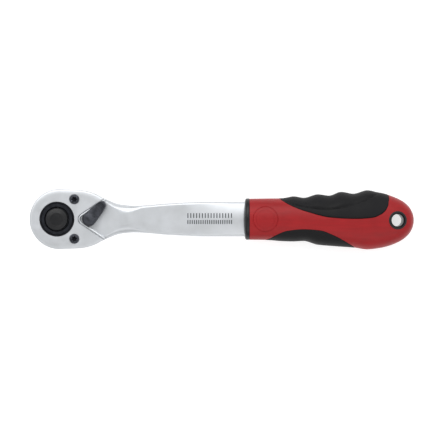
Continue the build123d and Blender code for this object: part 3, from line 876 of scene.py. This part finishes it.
def cover_screws(finish):
    """Two countersunk screws with six-lobed sockets, standing just under the cover's face."""
    head, shank, socket, depth = SCREW_HEAD, 1.7, 1.75, 2.7
    top = COVER_TOP_Z - 0.12
    outline = [
        (0.0, top + 0.1),
        (head - 0.9, top + 0.06),
        (head - 0.25, top - 0.08),
        (head, top - 0.35),
        (head - 0.02, top - 0.55),
        (shank, top - 2.0),
        (shank, SCREW_BOTTOM_Z + 0.4),
        (shank - 0.4, SCREW_BOTTOM_Z),
        (0.0, SCREW_BOTTOM_Z),
    ]
    screw = lathe("screw", outline, finish, 72)
    lobes = [2 * math.pi * i / 72 for i in range(72)]
    plan = [
        ((socket + 0.3 * math.cos(6 * a)) * math.cos(a), (socket + 0.3 * math.cos(6 * a)) * math.sin(a))
        for a in lobes
    ]
    wide = [(x * 1.2, y * 1.2) for x, y in plan]
    point = [(x * 0.1, y * 0.1) for x, y in plan]
    rings = [(top - depth, point), (top - 1.3, plan), (top - 0.1, plan), (top + 0.4, wide), (top + 1, wide)]
    key = levels("key", rings)
    combine(screw, key, "DIFFERENCE")
    span = (0.0, -2 * SCREW_Y, 0.0)
    return row("cover_screws_pair", screw, 2, (SCREW_X, SCREW_Y, 0.0), span, finish, math.radians(17))


# ---------------------------------------------------------------- button, bush and lever


def release_button(finish):
    """Push button: a low round boss inside a rounded rim, with the flange under the snap ring."""
    rim, flange = 7.5, 7.95
    top, stop = BUTTON_TOP_Z, corner("button_snap_ring", LOW, 2) - 0.03
    boss = [(r, top - 0.12 * (r / 4.4) ** 2) for r in spread(8, 0.0, 4.4)]
    step = [(4.4 + 1.5 * t, top - 0.12 - 0.62 * smooth_step(0.0, 1.0, t)) for t in spread(8, 0.1, 1.0)]
    bend = spread(8, 0.2, math.pi / 2)
    curve = [(rim - 0.9 + 0.9 * math.sin(a), top - 1.8 + 0.9 * math.cos(a)) for a in bend]
    outline = [
        *boss,
        *step,
        *curve,
        (rim, stop),
        (flange, stop),
        (flange, 17.0),
        (4.6, 17.0),
        (4.6, 20.5),
        (1.7, 20.5),
        (1.7, 22.4),
        (0.0, 22.4),
    ]
    return lathe("release_button_cap", outline, finish, 128)


def hub_bush(finish):
    """Thin bush between the cover and the hub, with a rounded top lip."""
    inner, outer, top, bottom = 11.03, 11.74, 20.95, 14.35
    outline = [
        (inner, bottom),
        (outer, bottom),
        (outer, top - 0.25),
        (outer - 0.25, top),
        (inner + 0.2, top),
        (inner, top - 0.2),
    ]
    return lathe("hub_bush_lipped", outline, finish, 128)


LEVER_ANGLE = math.radians(LEVER_SWING / 2)
LEVER_BASE_Z = 20.95
LEVER_REACH = 16.1
LEVER_ARM_Z = 23.5
LEVER_TAB_Z = 25.4
LEVER_HUB = 4.88
# Half width of the lever along its arm, and height of its top.
LEVER_SIDE = [(0.0, LEVER_HUB), (6.0, 4.2), (12.3, 3.3), (14.6, 2.5), (15.7, 1.5), (16.1, 0.3)]
LEVER_RIDGE = [(-4.9, 23.3), (0.0, 24.3), (4.2, 23.5), (6.0, LEVER_ARM_Z), (9.5, 23.7), (12.4, LEVER_TAB_Z)]

# Outline of the spindle under the lever: radius and height.
SPINDLE = [
    (0.0, 2.0),
    (2.4, 2.0),
    (2.4, 4.1),
    (3.2, 4.1),
    (3.2, 16.5),
    (4.85, 16.5),
    (4.85, 21.3),
    (0.0, 21.3),
]


def lever_half(u):
    """Half width of the lever at a distance along its arm."""
    if u < 0:
        return math.sqrt(max(LEVER_HUB**2 - u * u, 0.0))
    return hermite(LEVER_SIDE, u)


def lever_face(u, v):
    """Upper face of the lever: domed hub, waist and raised thumb tab with faceted sides."""
    half = lever_half(u)
    near_end = min(half - abs(v), LEVER_HUB - math.hypot(u, v) if u < 0 else half - abs(v))
    top = hermite(LEVER_RIDGE, u) - 0.25 * smooth_step(14.6, LEVER_REACH, u)
    tab = smooth_step(9.0, 11.5, u)
    facet = 1.5 * (1 - tab) + 0.8 * tab
    crown = 0.35 * (abs(v) / max(half, 0.5)) ** 2 * (1 - tab)
    tip = roll(LEVER_REACH - u, 1.2, 1.3)
    level = top - crown - tip - roll(near_end, facet, 1.5)
    return max(level, LEVER_BASE_Z + 0.25)


def turned(made, angle, x):
    """Turns a piece's mesh about the upright line through (x, 0) and puts its start there."""
    place = Matrix.Translation((x * MM, 0, 0)) @ Matrix.Rotation(angle, 4, "Z")
    made.data.transform(place)
    return made


def reverser_lever(finish):
    """Thumb lever with its hub, ridged tab and the spindle that carries the plunger."""
    rows = [-LEVER_HUB * math.cos(a) for a in spread(16, 0, math.pi / 2)] + spread(60, 0.3, LEVER_REACH)
    lever = field_solid(
        "reverser_lever_arm",
        rows,
        lambda u: crowded(lever_half(u), 33),
        lever_face,
        lambda u, v: LEVER_BASE_Z,
    )
    for u in (11.9, 12.9, 13.9):
        slot = [(u - 0.22, -4.0), (u + 0.22, -4.0), (u + 0.22, 4.0), (u - 0.22, 4.0)]
        wide = [(u - 0.5, -4.0), (u + 0.5, -4.0), (u + 0.5, 4.0), (u - 0.5, 4.0)]
        combine(lever, levels("slot", [(LEVER_TAB_Z - 0.45, slot), (LEVER_TAB_Z + 0.3, wide)]), "DIFFERENCE")
    combine(lever, lathe("spindle", SPINDLE, None, 72), "UNION")
    low, high = [[c / MM for c in place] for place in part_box("pawl_plunger")]
    height, radius = (low[2] + high[2]) / 2, (high[2] - low[2]) / 2 + 0.06
    bore = levels("bore", [(-2.2, ring_points(radius, count=32)), (9.0, ring_points(radius, count=32))])
    bore.data.transform(Matrix.Translation((0, 0, height * MM)) @ Matrix.Rotation(-math.pi / 2, 4, "Y"))
    combine(lever, bore, "DIFFERENCE")
    dress(lever, finish, 34.0)
    return turned(lever, LEVER_ANGLE, LEVER_X)


# ---------------------------------------------------------------- grip

# Sections of the grip: share of its length, upper side, lower side and half thickness.
GRIP_SECTIONS = [
    (0.0, 14.1, -14.3, 11.0),
    (0.06, 14.2, -14.4, 11.3),
    (0.124, 14.3, -14.5, 11.6),
    (0.203, 14.4, -15.2, 12.0),
    (0.268, 15.1, -15.4, 12.3),
    (0.334, 14.6, -15.1, 12.5),
    (0.421, 16.4, -17.7, 12.9),
    (0.487, 16.1, -18.4, 13.1),
    (0.559, 18.1, -19.0, 13.3),
    (0.632, 17.4, -19.6, 13.4),
    (0.72, 19.2, -21.0, 13.5),
    (0.788, 18.4, -20.2, 13.2),
    (0.841, 17.0, -18.9, 12.6),
    (0.889, 15.0, -16.9, 11.7),
    (0.934, 12.4, -14.2, 10.2),
    (0.971, 8.7, -10.4, 7.9),
    (0.993, 4.4, -6.0, 4.6),
    (1.0, 1.4, -3.0, 2.0),
]
# Edges of the soft pads on the grip's faces: share of the grip's length and place across it.
UPPER_PAD = [
    (0.188, 14.3),
    (0.206, 12.6),
    (0.268, 8.7),
    (0.356, 5.0),
    (0.5, 1.2),
    (0.647, 0.4),
    (0.742, 1.2),
    (0.79, 3.2),
    (0.82, 5.9),
    (0.838, 9.4),
    (0.845, 13.4),
]
LOWER_PAD = [
    (0.108, -14.35),
    (0.13, -13.4),
    (0.173, -10.8),
    (0.232, -8.3),
    (0.33, -7.2),
    (0.428, -8.0),
    (0.501, -10.8),
    (0.574, -15.0),
    (0.622, -18.2),
    (0.645, -19.75),
]
# Crease along the upper pad, inside the band of finger bumps.
CREASE = [
    (0.2, 13.2),
    (0.27, 10.3),
    (0.356, 8.3),
    (0.466, 6.9),
    (0.575, 8.3),
    (0.66, 11.3),
    (0.74, 15.0),
    (0.79, 18.0),
]
PAD_DEPTH = 1.8
# Power that gives the grip's section its shape; 1 would be an ellipse.
GRIP_FULLNESS = 0.94
BADGE_X = GRIP_X + 11.6
COLLAR_HALF_WIDTH = 14.35
COLLAR_HALF_THICKNESS = 11.0
# How far the collar laps over the end of the grip.
COLLAR_OVERLAP = 0.8


def columns_of(table, column):
    """One column of a table against its first, for hermite."""
    return [(line[0], line[column]) for line in table]


GRIP_UPPER, GRIP_LOWER, GRIP_HALF = (columns_of(GRIP_SECTIONS, k) for k in (1, 2, 3))


def grip_section(share):
    """Middle across, half width and half thickness of the grip at a share of its length."""
    upper, lower = hermite(GRIP_UPPER, share), hermite(GRIP_LOWER, share)
    return (upper + lower) / 2, (upper - lower) / 2, hermite(GRIP_HALF, share)


def grip_point(share, angle, grow=0.0):
    """Point on the grip's skin; the angle runs from its upper face over its +Y side."""
    middle, wide, thick = grip_section(share)
    s, c = math.sin(angle), math.cos(angle)
    across = math.copysign(abs(s) ** GRIP_FULLNESS, s) * (wide + grow)
    up = math.copysign(abs(c) ** GRIP_FULLNESS, c) * (thick + grow)
    return (GRIP_X + share * GRIP_LENGTH, middle + across, GRIP_Z + up)


def grip_top(x, y):
    """Height of the grip's upper face above its middle plane at a plan point."""
    share = min(max((x - GRIP_X) / GRIP_LENGTH, 0.0), 1.0)
    middle, wide, thick = grip_section(share)
    s = min(abs(y - middle) / wide, 1.0) ** (1 / GRIP_FULLNESS)
    return thick * max(1 - s * s, 0.0) ** (GRIP_FULLNESS / 2)


def angle_at(share, y):
    """Angle at which the grip's upper face is at a place across it."""
    middle, wide, _ = grip_section(share)
    reach = min(max((y - middle) / wide, -1.0), 1.0)
    return math.copysign(math.asin(abs(reach) ** (1 / GRIP_FULLNESS)), reach)


def grip_form(name, shares, grow, material):
    """Closed solid of the grip's form, grown or drawn in."""
    count = 128
    verts = [grip_point(s, 2 * math.pi * i / count, grow) for s in shares for i in range(count)]
    return as_object(name, verts, wrapped(len(shares), count, False), material)


def grip_shares():
    """Stations along the grip, closer together toward its rounded end."""
    along = spread(110, COLLAR_OVERLAP / GRIP_LENGTH, 0.93)
    return along + [1 - 0.07 * (1 - t) ** 2 for t in spread(24, 0.04, 1.0)]


def pad_grid(edge, side, gap, skin, floor):
    """Outer and inner grids of a soft pad that wraps round one side of the grip.

    The gap widens it, for the pocket that it sits in. The skin gives the height over the grip.
    """
    first, last = edge[0][0] - gap / GRIP_LENGTH, edge[-1][0] + gap / GRIP_LENGTH
    bend = [(1 - math.cos(math.pi * t)) / 2 for t in spread(120, 0, 1)]
    outer, inner = [], []
    for t in bend:
        share = first + (last - first) * t
        thick = grip_section(share)[2]
        start = abs(angle_at(share, hermite(edge, share))) - gap / thick
        length = (math.pi - 2 * start) * thick
        lines = [], []
        for s in crowded(1.0, 97):
            angle = side * (math.pi / 2 + s * (math.pi / 2 - start))
            inside = min((1 - abs(s)) * length / 2, (last - share) * GRIP_LENGTH)
            lines[0].append(grip_point(share, angle, skin(share, angle, inside)))
            lines[1].append(grip_point(share, angle, -floor))
        outer.append(lines[0])
        inner.append(lines[1])
    return outer, inner


def pad_pocket(edge, side):
    """Cutter for the pocket that a pad sits in."""
    outer, inner = pad_grid(edge, side, size("pad_gap"), lambda *_: 2.0, PAD_DEPTH + 0.02)
    return grid_solid("pocket", outer, inner)


def pad_skin(_share, _angle, inside):
    """Height of a pad over the grip, rolled down along its edge."""
    return size("pad_proud") - full_roll(inside, 0.9, 0.55)


def bumped_skin(share, angle, inside):
    """Height of the upper pad: a raised band of finger bumps outside a crease."""
    wave, crease_depth = size("bump_height"), 0.5
    thick = grip_section(share)[2]
    beyond = (abs(angle) - angle_at(share, hermite(CREASE, share))) * thick
    if abs(angle) > math.pi / 2:
        beyond = (math.pi - abs(angle) - angle_at(share, hermite(CREASE, share))) * thick
    fade = smooth_step(0.2, 0.3, share) * (1 - smooth_step(0.74, 0.8, share))
    band = smooth_step(-0.2, 2.2, beyond) * fade
    crease = crease_depth * math.exp(-((beyond / 0.4) ** 2)) * fade
    finger = math.cos(2 * math.pi * (share - 0.268) / 0.1505)
    level = 0.35 * band + wave * 0.33 * finger * band
    return pad_skin(share, angle, inside) + level - crease


def surface_tube(radius, thickness, count=160, sides=10):
    """Ring that follows the grip's upper face, used to press a groove."""
    verts = []
    for c, s in ring_points(1.0, count=count):
        for out, up in ring_points(thickness, count=sides):
            x, y = BADGE_X + (radius + out) * c, (radius + out) * s
            verts.append((x, y, GRIP_Z + grip_top(x, y) + up))
    return as_object("groove", verts, wrapped(count, sides, True), None)


def grip_core(finish):
    """Hard core of the grip: pockets for the pads, the tang's socket, the hole and the badge ring."""
    core = grip_form("grip_core_moulded", grip_shares(), 0.0, finish)
    combine(core, pad_pocket(UPPER_PAD, 1), "DIFFERENCE")
    combine(core, pad_pocket(LOWER_PAD, -1), "DIFFERENCE")
    combine(core, pillar(EYELET_RADIUS + 0.02, GRIP_Z - 20, GRIP_Z + 20, HOLE_X, HOLE_Y), "DIFFERENCE")
    combine(core, surface_tube(size("badge_radius"), 0.3), "DIFFERENCE")
    combine(core, surface_tube(size("badge_radius") * 0.74, 0.12), "DIFFERENCE")
    half, thick = TANG_HALF + 0.02, TANG_THICKNESS / 2 + 0.02
    plan = [(GRIP_X - 5, -half), (TANG_END_X + 0.02, -half), (TANG_END_X + 0.02, half), (GRIP_X - 5, half)]
    combine(core, levels("socket", [(GRIP_Z - thick, plan), (GRIP_Z + thick, plan)]), "DIFFERENCE")
    dress(core, finish, 34.0)
    return core


def soft_pad(name, edge, side, skin, finish):
    """Soft pad with rolled edges, seated in its pocket."""
    outer, inner = pad_grid(edge, side, 0.0, skin, PAD_DEPTH)
    return grid_solid(name, outer, inner, finish, 40.0)


def hang_eyelet(finish):
    """Black liner of the hanging hole, with a soft lip that follows the grip on both faces."""
    hole, outer = 4.3, EYELET_RADIUS - 0.02
    profile = [
        (outer, -1.6),
        (outer, 0.05),
        (outer - 0.2, 0.22),
        (5.7, 0.3),
        (5.1, 0.1),
        (4.6, -0.5),
        (hole, -1.4),
    ]
    verts, count = [], 96
    for c, s in ring_points(1.0, count=count):
        for face in (1, -1):
            for r, rise in profile[::face]:
                x, y = HOLE_X + r * c, HOLE_Y + r * s
                verts.append((x, y, GRIP_Z + face * (grip_top(x, y) + rise)))
    faces = wrapped(count, 2 * len(profile), True)
    return as_object("hang_eyelet_lipped", verts, faces, finish, 40.0)


def grip_collar(shank, finish):
    """Collar between shank and grip, bulging toward the head, cut to the shank."""
    back, front = GRIP_X + COLLAR_OVERLAP - 0.02, COLLAR_X
    rings = [(front + 1.7 * share**2.5, share) for share in spread(14, 0.1, 0.95)]
    rings += [(back - 2.4, 0.985), (back - 1.9, 1.0), (back - 0.3, 1.0), (back, 0.985)]
    verts, count = [], 128
    for x, share in rings:
        for up, out in ring_points(share, count=count):
            verts.append((x, COLLAR_HALF_WIDTH * out, GRIP_Z + COLLAR_HALF_THICKNESS * up))
    faces = wrapped(len(rings), count, False)
    collar = as_object("grip_collar_domed", verts, faces, finish)
    combine(collar, shank, "DIFFERENCE", keep=True)
    dress(collar, finish, 34.0)
    return collar


MARK_START_X = 90.0
MARK_RUN = 30.0
MARK_WIDTH = 0.75
# Rows of ticks: middle across the shank, height and number.
MARK_ROWS = [(2.4, 3.3, 16), (-2.0, 2.8, 21)]


def shank_marks(finish):
    """Two rows of plain etched ticks on the shank."""
    rows = []
    low, high = 16.6, 18.0
    stations = [-MARK_WIDTH / 2, 0.0, MARK_WIDTH / 2]
    for across, height, count in MARK_ROWS:
        lines = [across + height * (t - 0.5) for t in spread(6, 0, 1)]
        tick = field_solid("tick", stations, lambda x: lines, lambda x, y: high, lambda x, y: low)
        start, step = (MARK_START_X, 0.0, 0.0), (MARK_RUN / (count - 1), 0.0, 0.0)
        rows.append(row("shank_marks", tick, count, start, step, finish))
        for vertex in rows[-1].data.vertices:
            x, y, z = vertex.co / MM
            if z > (low + high) / 2:
                vertex.co.z = (neck_face(x, y) + 0.02) * MM
    combine(rows[0], rows[1], "UNION")
    dress(rows[0], finish)
    return rows[0]


# ---------------------------------------------------------------- operators


def settle(piece, body, slot, *nodes):
    """Hangs a piece on the body that it rides and hides the frame nodes that it stands for; the slot is not
    used.
    """
    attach(piece, body)
    if nodes:
        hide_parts(*nodes)


class WRENCH_OT_forging(bpy.types.Operator):
    """Build the forged body and the cover plate"""

    bl_idname = "wrench.forging"
    bl_label = "Forged Body and Cover"

    def execute(self, context):
        chrome = finishes()["chrome"]
        settle(forged_body(chrome), "body", "satin_chrome", "ratchet_body")
        settle(cover_plate(chrome), "body", "satin_chrome", "cover_plate")
        return {"FINISHED"}


class WRENCH_OT_screws(bpy.types.Operator):
    """Build the two cover screws"""

    bl_idname = "wrench.screws"
    bl_label = "Cover Screws"

    def execute(self, context):
        settle(cover_screws(finishes()["lever"]), "body", "black_steel", "cover_screws")
        return {"FINISHED"}


class WRENCH_OT_hub(bpy.types.Operator):
    """Build the push button and the bush around the hub"""

    bl_idname = "wrench.hub"
    bl_label = "Button and Bush"

    def execute(self, context):
        settle(release_button(finishes()["nylon"]), "button", "black_plastic", "release_button")
        settle(hub_bush(finishes()["oxide"]), "body", "black_steel", "hub_bush")
        return {"FINISHED"}


class WRENCH_OT_lever(bpy.types.Operator):
    """Build the reversing lever"""

    bl_idname = "wrench.lever"
    bl_label = "Reversing Lever"

    def execute(self, context):
        settle(reverser_lever(finishes()["lever"]), "lever", "black_steel", "reverser_lever")
        return {"FINISHED"}


class WRENCH_OT_grip(bpy.types.Operator):
    """Build the hard core of the grip, its collar and the lined hanging hole"""

    bl_idname = "wrench.grip"
    bl_label = "Grip Core, Collar and Eyelet"

    def execute(self, context):
        made = finishes()
        settle(grip_core(made["core"]), "body", "red_plastic", "grip_core")
        shank = bpy.data.objects["forged_body"]
        settle(grip_collar(shank, made["nylon"]), "body", "black_plastic", "grip_collar")
        settle(hang_eyelet(made["nylon"]), "body", "black_plastic", "hang_eyelet")
        return {"FINISHED"}


class WRENCH_OT_pads(bpy.types.Operator):
    """Build the two soft pads of the grip"""

    bl_idname = "wrench.pads"
    bl_label = "Soft Pads"

    def execute(self, context):
        finish = finishes()["pad"]
        upper = soft_pad("grip_pad_upper_soft", UPPER_PAD, 1, bumped_skin, finish)
        lower = soft_pad("grip_pad_lower_soft", LOWER_PAD, -1, pad_skin, finish)
        settle(upper, "body", "black_rubber", "grip_pad_upper")
        settle(lower, "body", "black_rubber", "grip_pad_lower")
        return {"FINISHED"}


class WRENCH_OT_marks(bpy.types.Operator):
    """Etch the plain tick marks on the shank"""

    bl_idname = "wrench.marks"
    bl_label = "Shank Marks"

    def execute(self, context):
        settle(shank_marks(finishes()["mark"]), "body", "black_steel")
        return {"FINISHED"}


# Finish of each frame node that keeps its own shape.
INNER_FINISH = {
    "drive_wheel": "drive",
    "thrust_washer": "steel",
    "hub_seal": "pad",
    "button_snap_ring": "oxide",
    "release_pin": "steel",
    "release_spring": "steel",
    "detent_ball": "steel",
    "lever_seal": "pad",
    "pawl": "oxide",
    "pawl_plunger": "steel",
    "pawl_spring": "steel",
}


class WRENCH_OT_inner(bpy.types.Operator):
    """Finish the drive wheel and the pieces inside the head"""

    bl_idname = "wrench.inner"
    bl_label = "Drive and Inner Pieces"

    def execute(self, context):
        made = finishes()
        for node, finish in INNER_FINISH.items():
            for part in node_objects(node):
                for slot in part.material_slots:
                    slot.material = made[finish]
        return {"FINISHED"}


class WRENCH_OT_stage(bpy.types.Operator):
    """Set the floor, the soft lights and the camera"""

    bl_idname = "wrench.stage"
    bl_label = "Floor, Light and Camera"

    def execute(self, context):
        floor()
        lights()
        camera()
        return {"FINISHED"}


def node_objects(node):
    """The objects that hold a frame node's mesh."""
    return [made for made in bpy.data.objects if made.type == "MESH" and made.name.split(".")[0] == node]


# ---------------------------------------------------------------- stage

FLOOR_HALF = 3.0


def floor():
    """Plain pale floor that the end of the square and the underside of the grip rest on."""
    grip_low = min(grip_point(s, math.pi)[2] for s in grip_shares())
    grip_low_x = GRIP_X + 0.72 * GRIP_LENGTH
    rise = (grip_low - SQUARE_END_Z) / grip_low_x
    height = SQUARE_END_Z - 0.2
    plan = [(x * FLOOR_HALF, y * FLOOR_HALF) for x, y in ((-1, -1), (1, -1), (1, 1), (-1, 1))]
    verts = [(x / MM, y / MM, height + rise * x / MM) for x, y in plan]
    mesh = bpy.data.meshes.new("floor")
    mesh.from_pydata([Vector(v) * MM for v in verts], [], [(0, 1, 2, 3)])
    made = bpy.data.objects.new("floor", mesh)
    bpy.context.scene.collection.objects.link(made)
    material, tree, shader, place = blank_material("floor_paper")
    cloud = mottle(tree, place, 300.0)
    tree.links.new(tint(tree, remap(tree, cloud, 0, 1), "#B8B8B8", "#BCBCBC"), shader.inputs["Base Color"])
    shader.inputs["Roughness"].default_value = 0.9
    shader.inputs["Specular IOR Level"].default_value = 0.1
    # A light table: the paper glows a little, which keeps the shadows faint.
    shader.inputs["Emission Color"].default_value = linear("#FFFFFF")
    shader.inputs["Emission Strength"].default_value = 0.7
    mesh.materials.append(material)


def lights():
    """Soft studio light: a pale surround that is dimmer near the floor, and two large softboxes."""
    world = bpy.data.worlds.new("studio")
    bpy.context.scene.world = world
    world.use_nodes = True
    tree = world.node_tree
    tree.nodes.clear()
    facing = add(tree, "ShaderNodeTexCoord").outputs["Generated"]
    parts = add(tree, "ShaderNodeSeparateXYZ", {"Vector": facing}).outputs
    # Strength from the horizon (first) to overhead (last), against the height of the direction.
    dome = add(tree, "ShaderNodeFloatCurve", {"Value": parts["Z"]})
    shape_curve(dome, [(0.0, 0.3), (0.3, 0.62), (0.5, 0.92), (0.8, 0.98), (0.95, 0.99), (1.0, 1.0)])
    # The darker openings between the overhead panels, and a little more light from the +Y side.
    dim = opening(tree, facing, (-0.258, -0.02, 0.966), 0.972, 1.15)
    dim_too = opening(tree, facing, (0.190, -0.03, 0.981), 0.989, 1.3)
    side = remap(tree, parts["Y"], -0.1, 0.1, -0.8, 0.8)
    level = summed(tree, [dome.outputs["Value"], side])
    for less in (dim, dim_too):
        level = add(tree, "ShaderNodeMath", {0: level, 1: less}, operation="SUBTRACT").outputs[0]
    wanted = {"Color": linear("#FFFFFF"), "Strength": scaled(tree, level, 1.09)}
    surround = add(tree, "ShaderNodeBackground", wanted)
    add(tree, "ShaderNodeOutputWorld", {"Surface": surround.outputs["Background"]})
    middle = Vector((110, 0, 10)) * MM
    softbox("key_softbox", middle, Vector((-0.25, 0.75, 0.95)), 1.4, (1.6, 0.9), 7.0)
    softbox("fill_softbox", middle, Vector((0.3, -0.9, 0.8)), 1.6, (1.4, 0.6), 1.5)


def opening(tree, facing, direction, edge, depth):
    """How much darker the surround is about a direction, down to a cosine at its edge."""
    wanted = {0: facing, 1: direction}
    near = add(tree, "ShaderNodeVectorMath", wanted, operation="DOT_PRODUCT").outputs["Value"]
    return remap(tree, near, 0, depth, edge, 0.9995)


def shape_curve(node, points):
    """Sets a float curve node to pass through points."""
    curve = node.mapping.curves[0]
    curve.points[0].location, curve.points[1].location = points[0], points[-1]
    for place in points[1:-1]:
        curve.points.new(*place)
    node.mapping.update()


def softbox(name, target, direction, distance, size, power):
    """Rectangular area light at a distance from the target, facing it."""
    lamp = bpy.data.lights.new(name, "AREA")
    lamp.shape = "RECTANGLE"
    lamp.size, lamp.size_y = size
    lamp.energy = power
    made = bpy.data.objects.new(name, lamp)
    bpy.context.scene.collection.objects.link(made)
    made.location = target + direction.normalized() * distance
    made.rotation_euler = (-direction).to_track_quat("-Z", "Y").to_euler()
    return made


# What the camera sees at the height of the cover: its middle and its width, in millimetres.
VIEW_MIDDLE = (110.4, 1.1)
VIEW_WIDTH = 299.0
VIEW_DISTANCE = 1200.0


def camera():
    """Camera straight above, with the handle to the right."""
    lens = bpy.data.cameras.new("camera")
    lens.angle = 2 * math.atan(VIEW_WIDTH / 2 / VIEW_DISTANCE)
    made = bpy.data.objects.new("camera", lens)
    bpy.context.scene.collection.objects.link(made)
    made.location = Vector((*VIEW_MIDDLE, COVER_TOP_Z + VIEW_DISTANCE)) * MM
    bpy.context.scene.camera = made
    bpy.context.scene.view_settings.view_transform = "Standard"


class WRENCH_PT_panel(bpy.types.Panel):
    """Panel in the 3D view's sidebar with one button for each group of pieces"""

    bl_idname = "WRENCH_PT_panel"
    bl_label = "Ratchet Wrench"
    bl_space_type = "VIEW_3D"
    bl_region_type = "UI"
    bl_category = "Wrench"

    def draw(self, context):
        for operator in OPERATORS:
            self.layout.operator(operator.bl_idname)
        for group in (context.scene.wrench_sizes, context.scene.wrench_colours):
            for name in group.bl_rna.properties.keys():
                if name not in ("rna_type", "name"):
                    self.layout.prop(group, name)


OPERATORS = (
    WRENCH_OT_stage,
    WRENCH_OT_forging,
    WRENCH_OT_screws,
    WRENCH_OT_hub,
    WRENCH_OT_lever,
    WRENCH_OT_grip,
    WRENCH_OT_pads,
    WRENCH_OT_marks,
    WRENCH_OT_inner,
)
CLASSES = (WrenchSizes, WrenchColours, *OPERATORS, WRENCH_PT_panel)


def register():
    for made in CLASSES:
        bpy.utils.register_class(made)
    bpy.types.Scene.wrench_sizes = bpy.props.PointerProperty(type=WrenchSizes)
    bpy.types.Scene.wrench_colours = bpy.props.PointerProperty(type=WrenchColours)


def unregister():
    del bpy.types.Scene.wrench_sizes
    del bpy.types.Scene.wrench_colours
    for made in reversed(CLASSES):
        bpy.utils.unregister_class(made)


def main():
    """Builds every piece and the stage."""
    register()
    bpy.ops.wrench.stage()
    bpy.ops.wrench.forging()
    bpy.ops.wrench.screws()
    bpy.ops.wrench.hub()
    bpy.ops.wrench.lever()
    bpy.ops.wrench.grip()
    bpy.ops.wrench.pads()
    bpy.ops.wrench.marks()
    bpy.ops.wrench.inner()


if __name__ == "__main__":
    main()
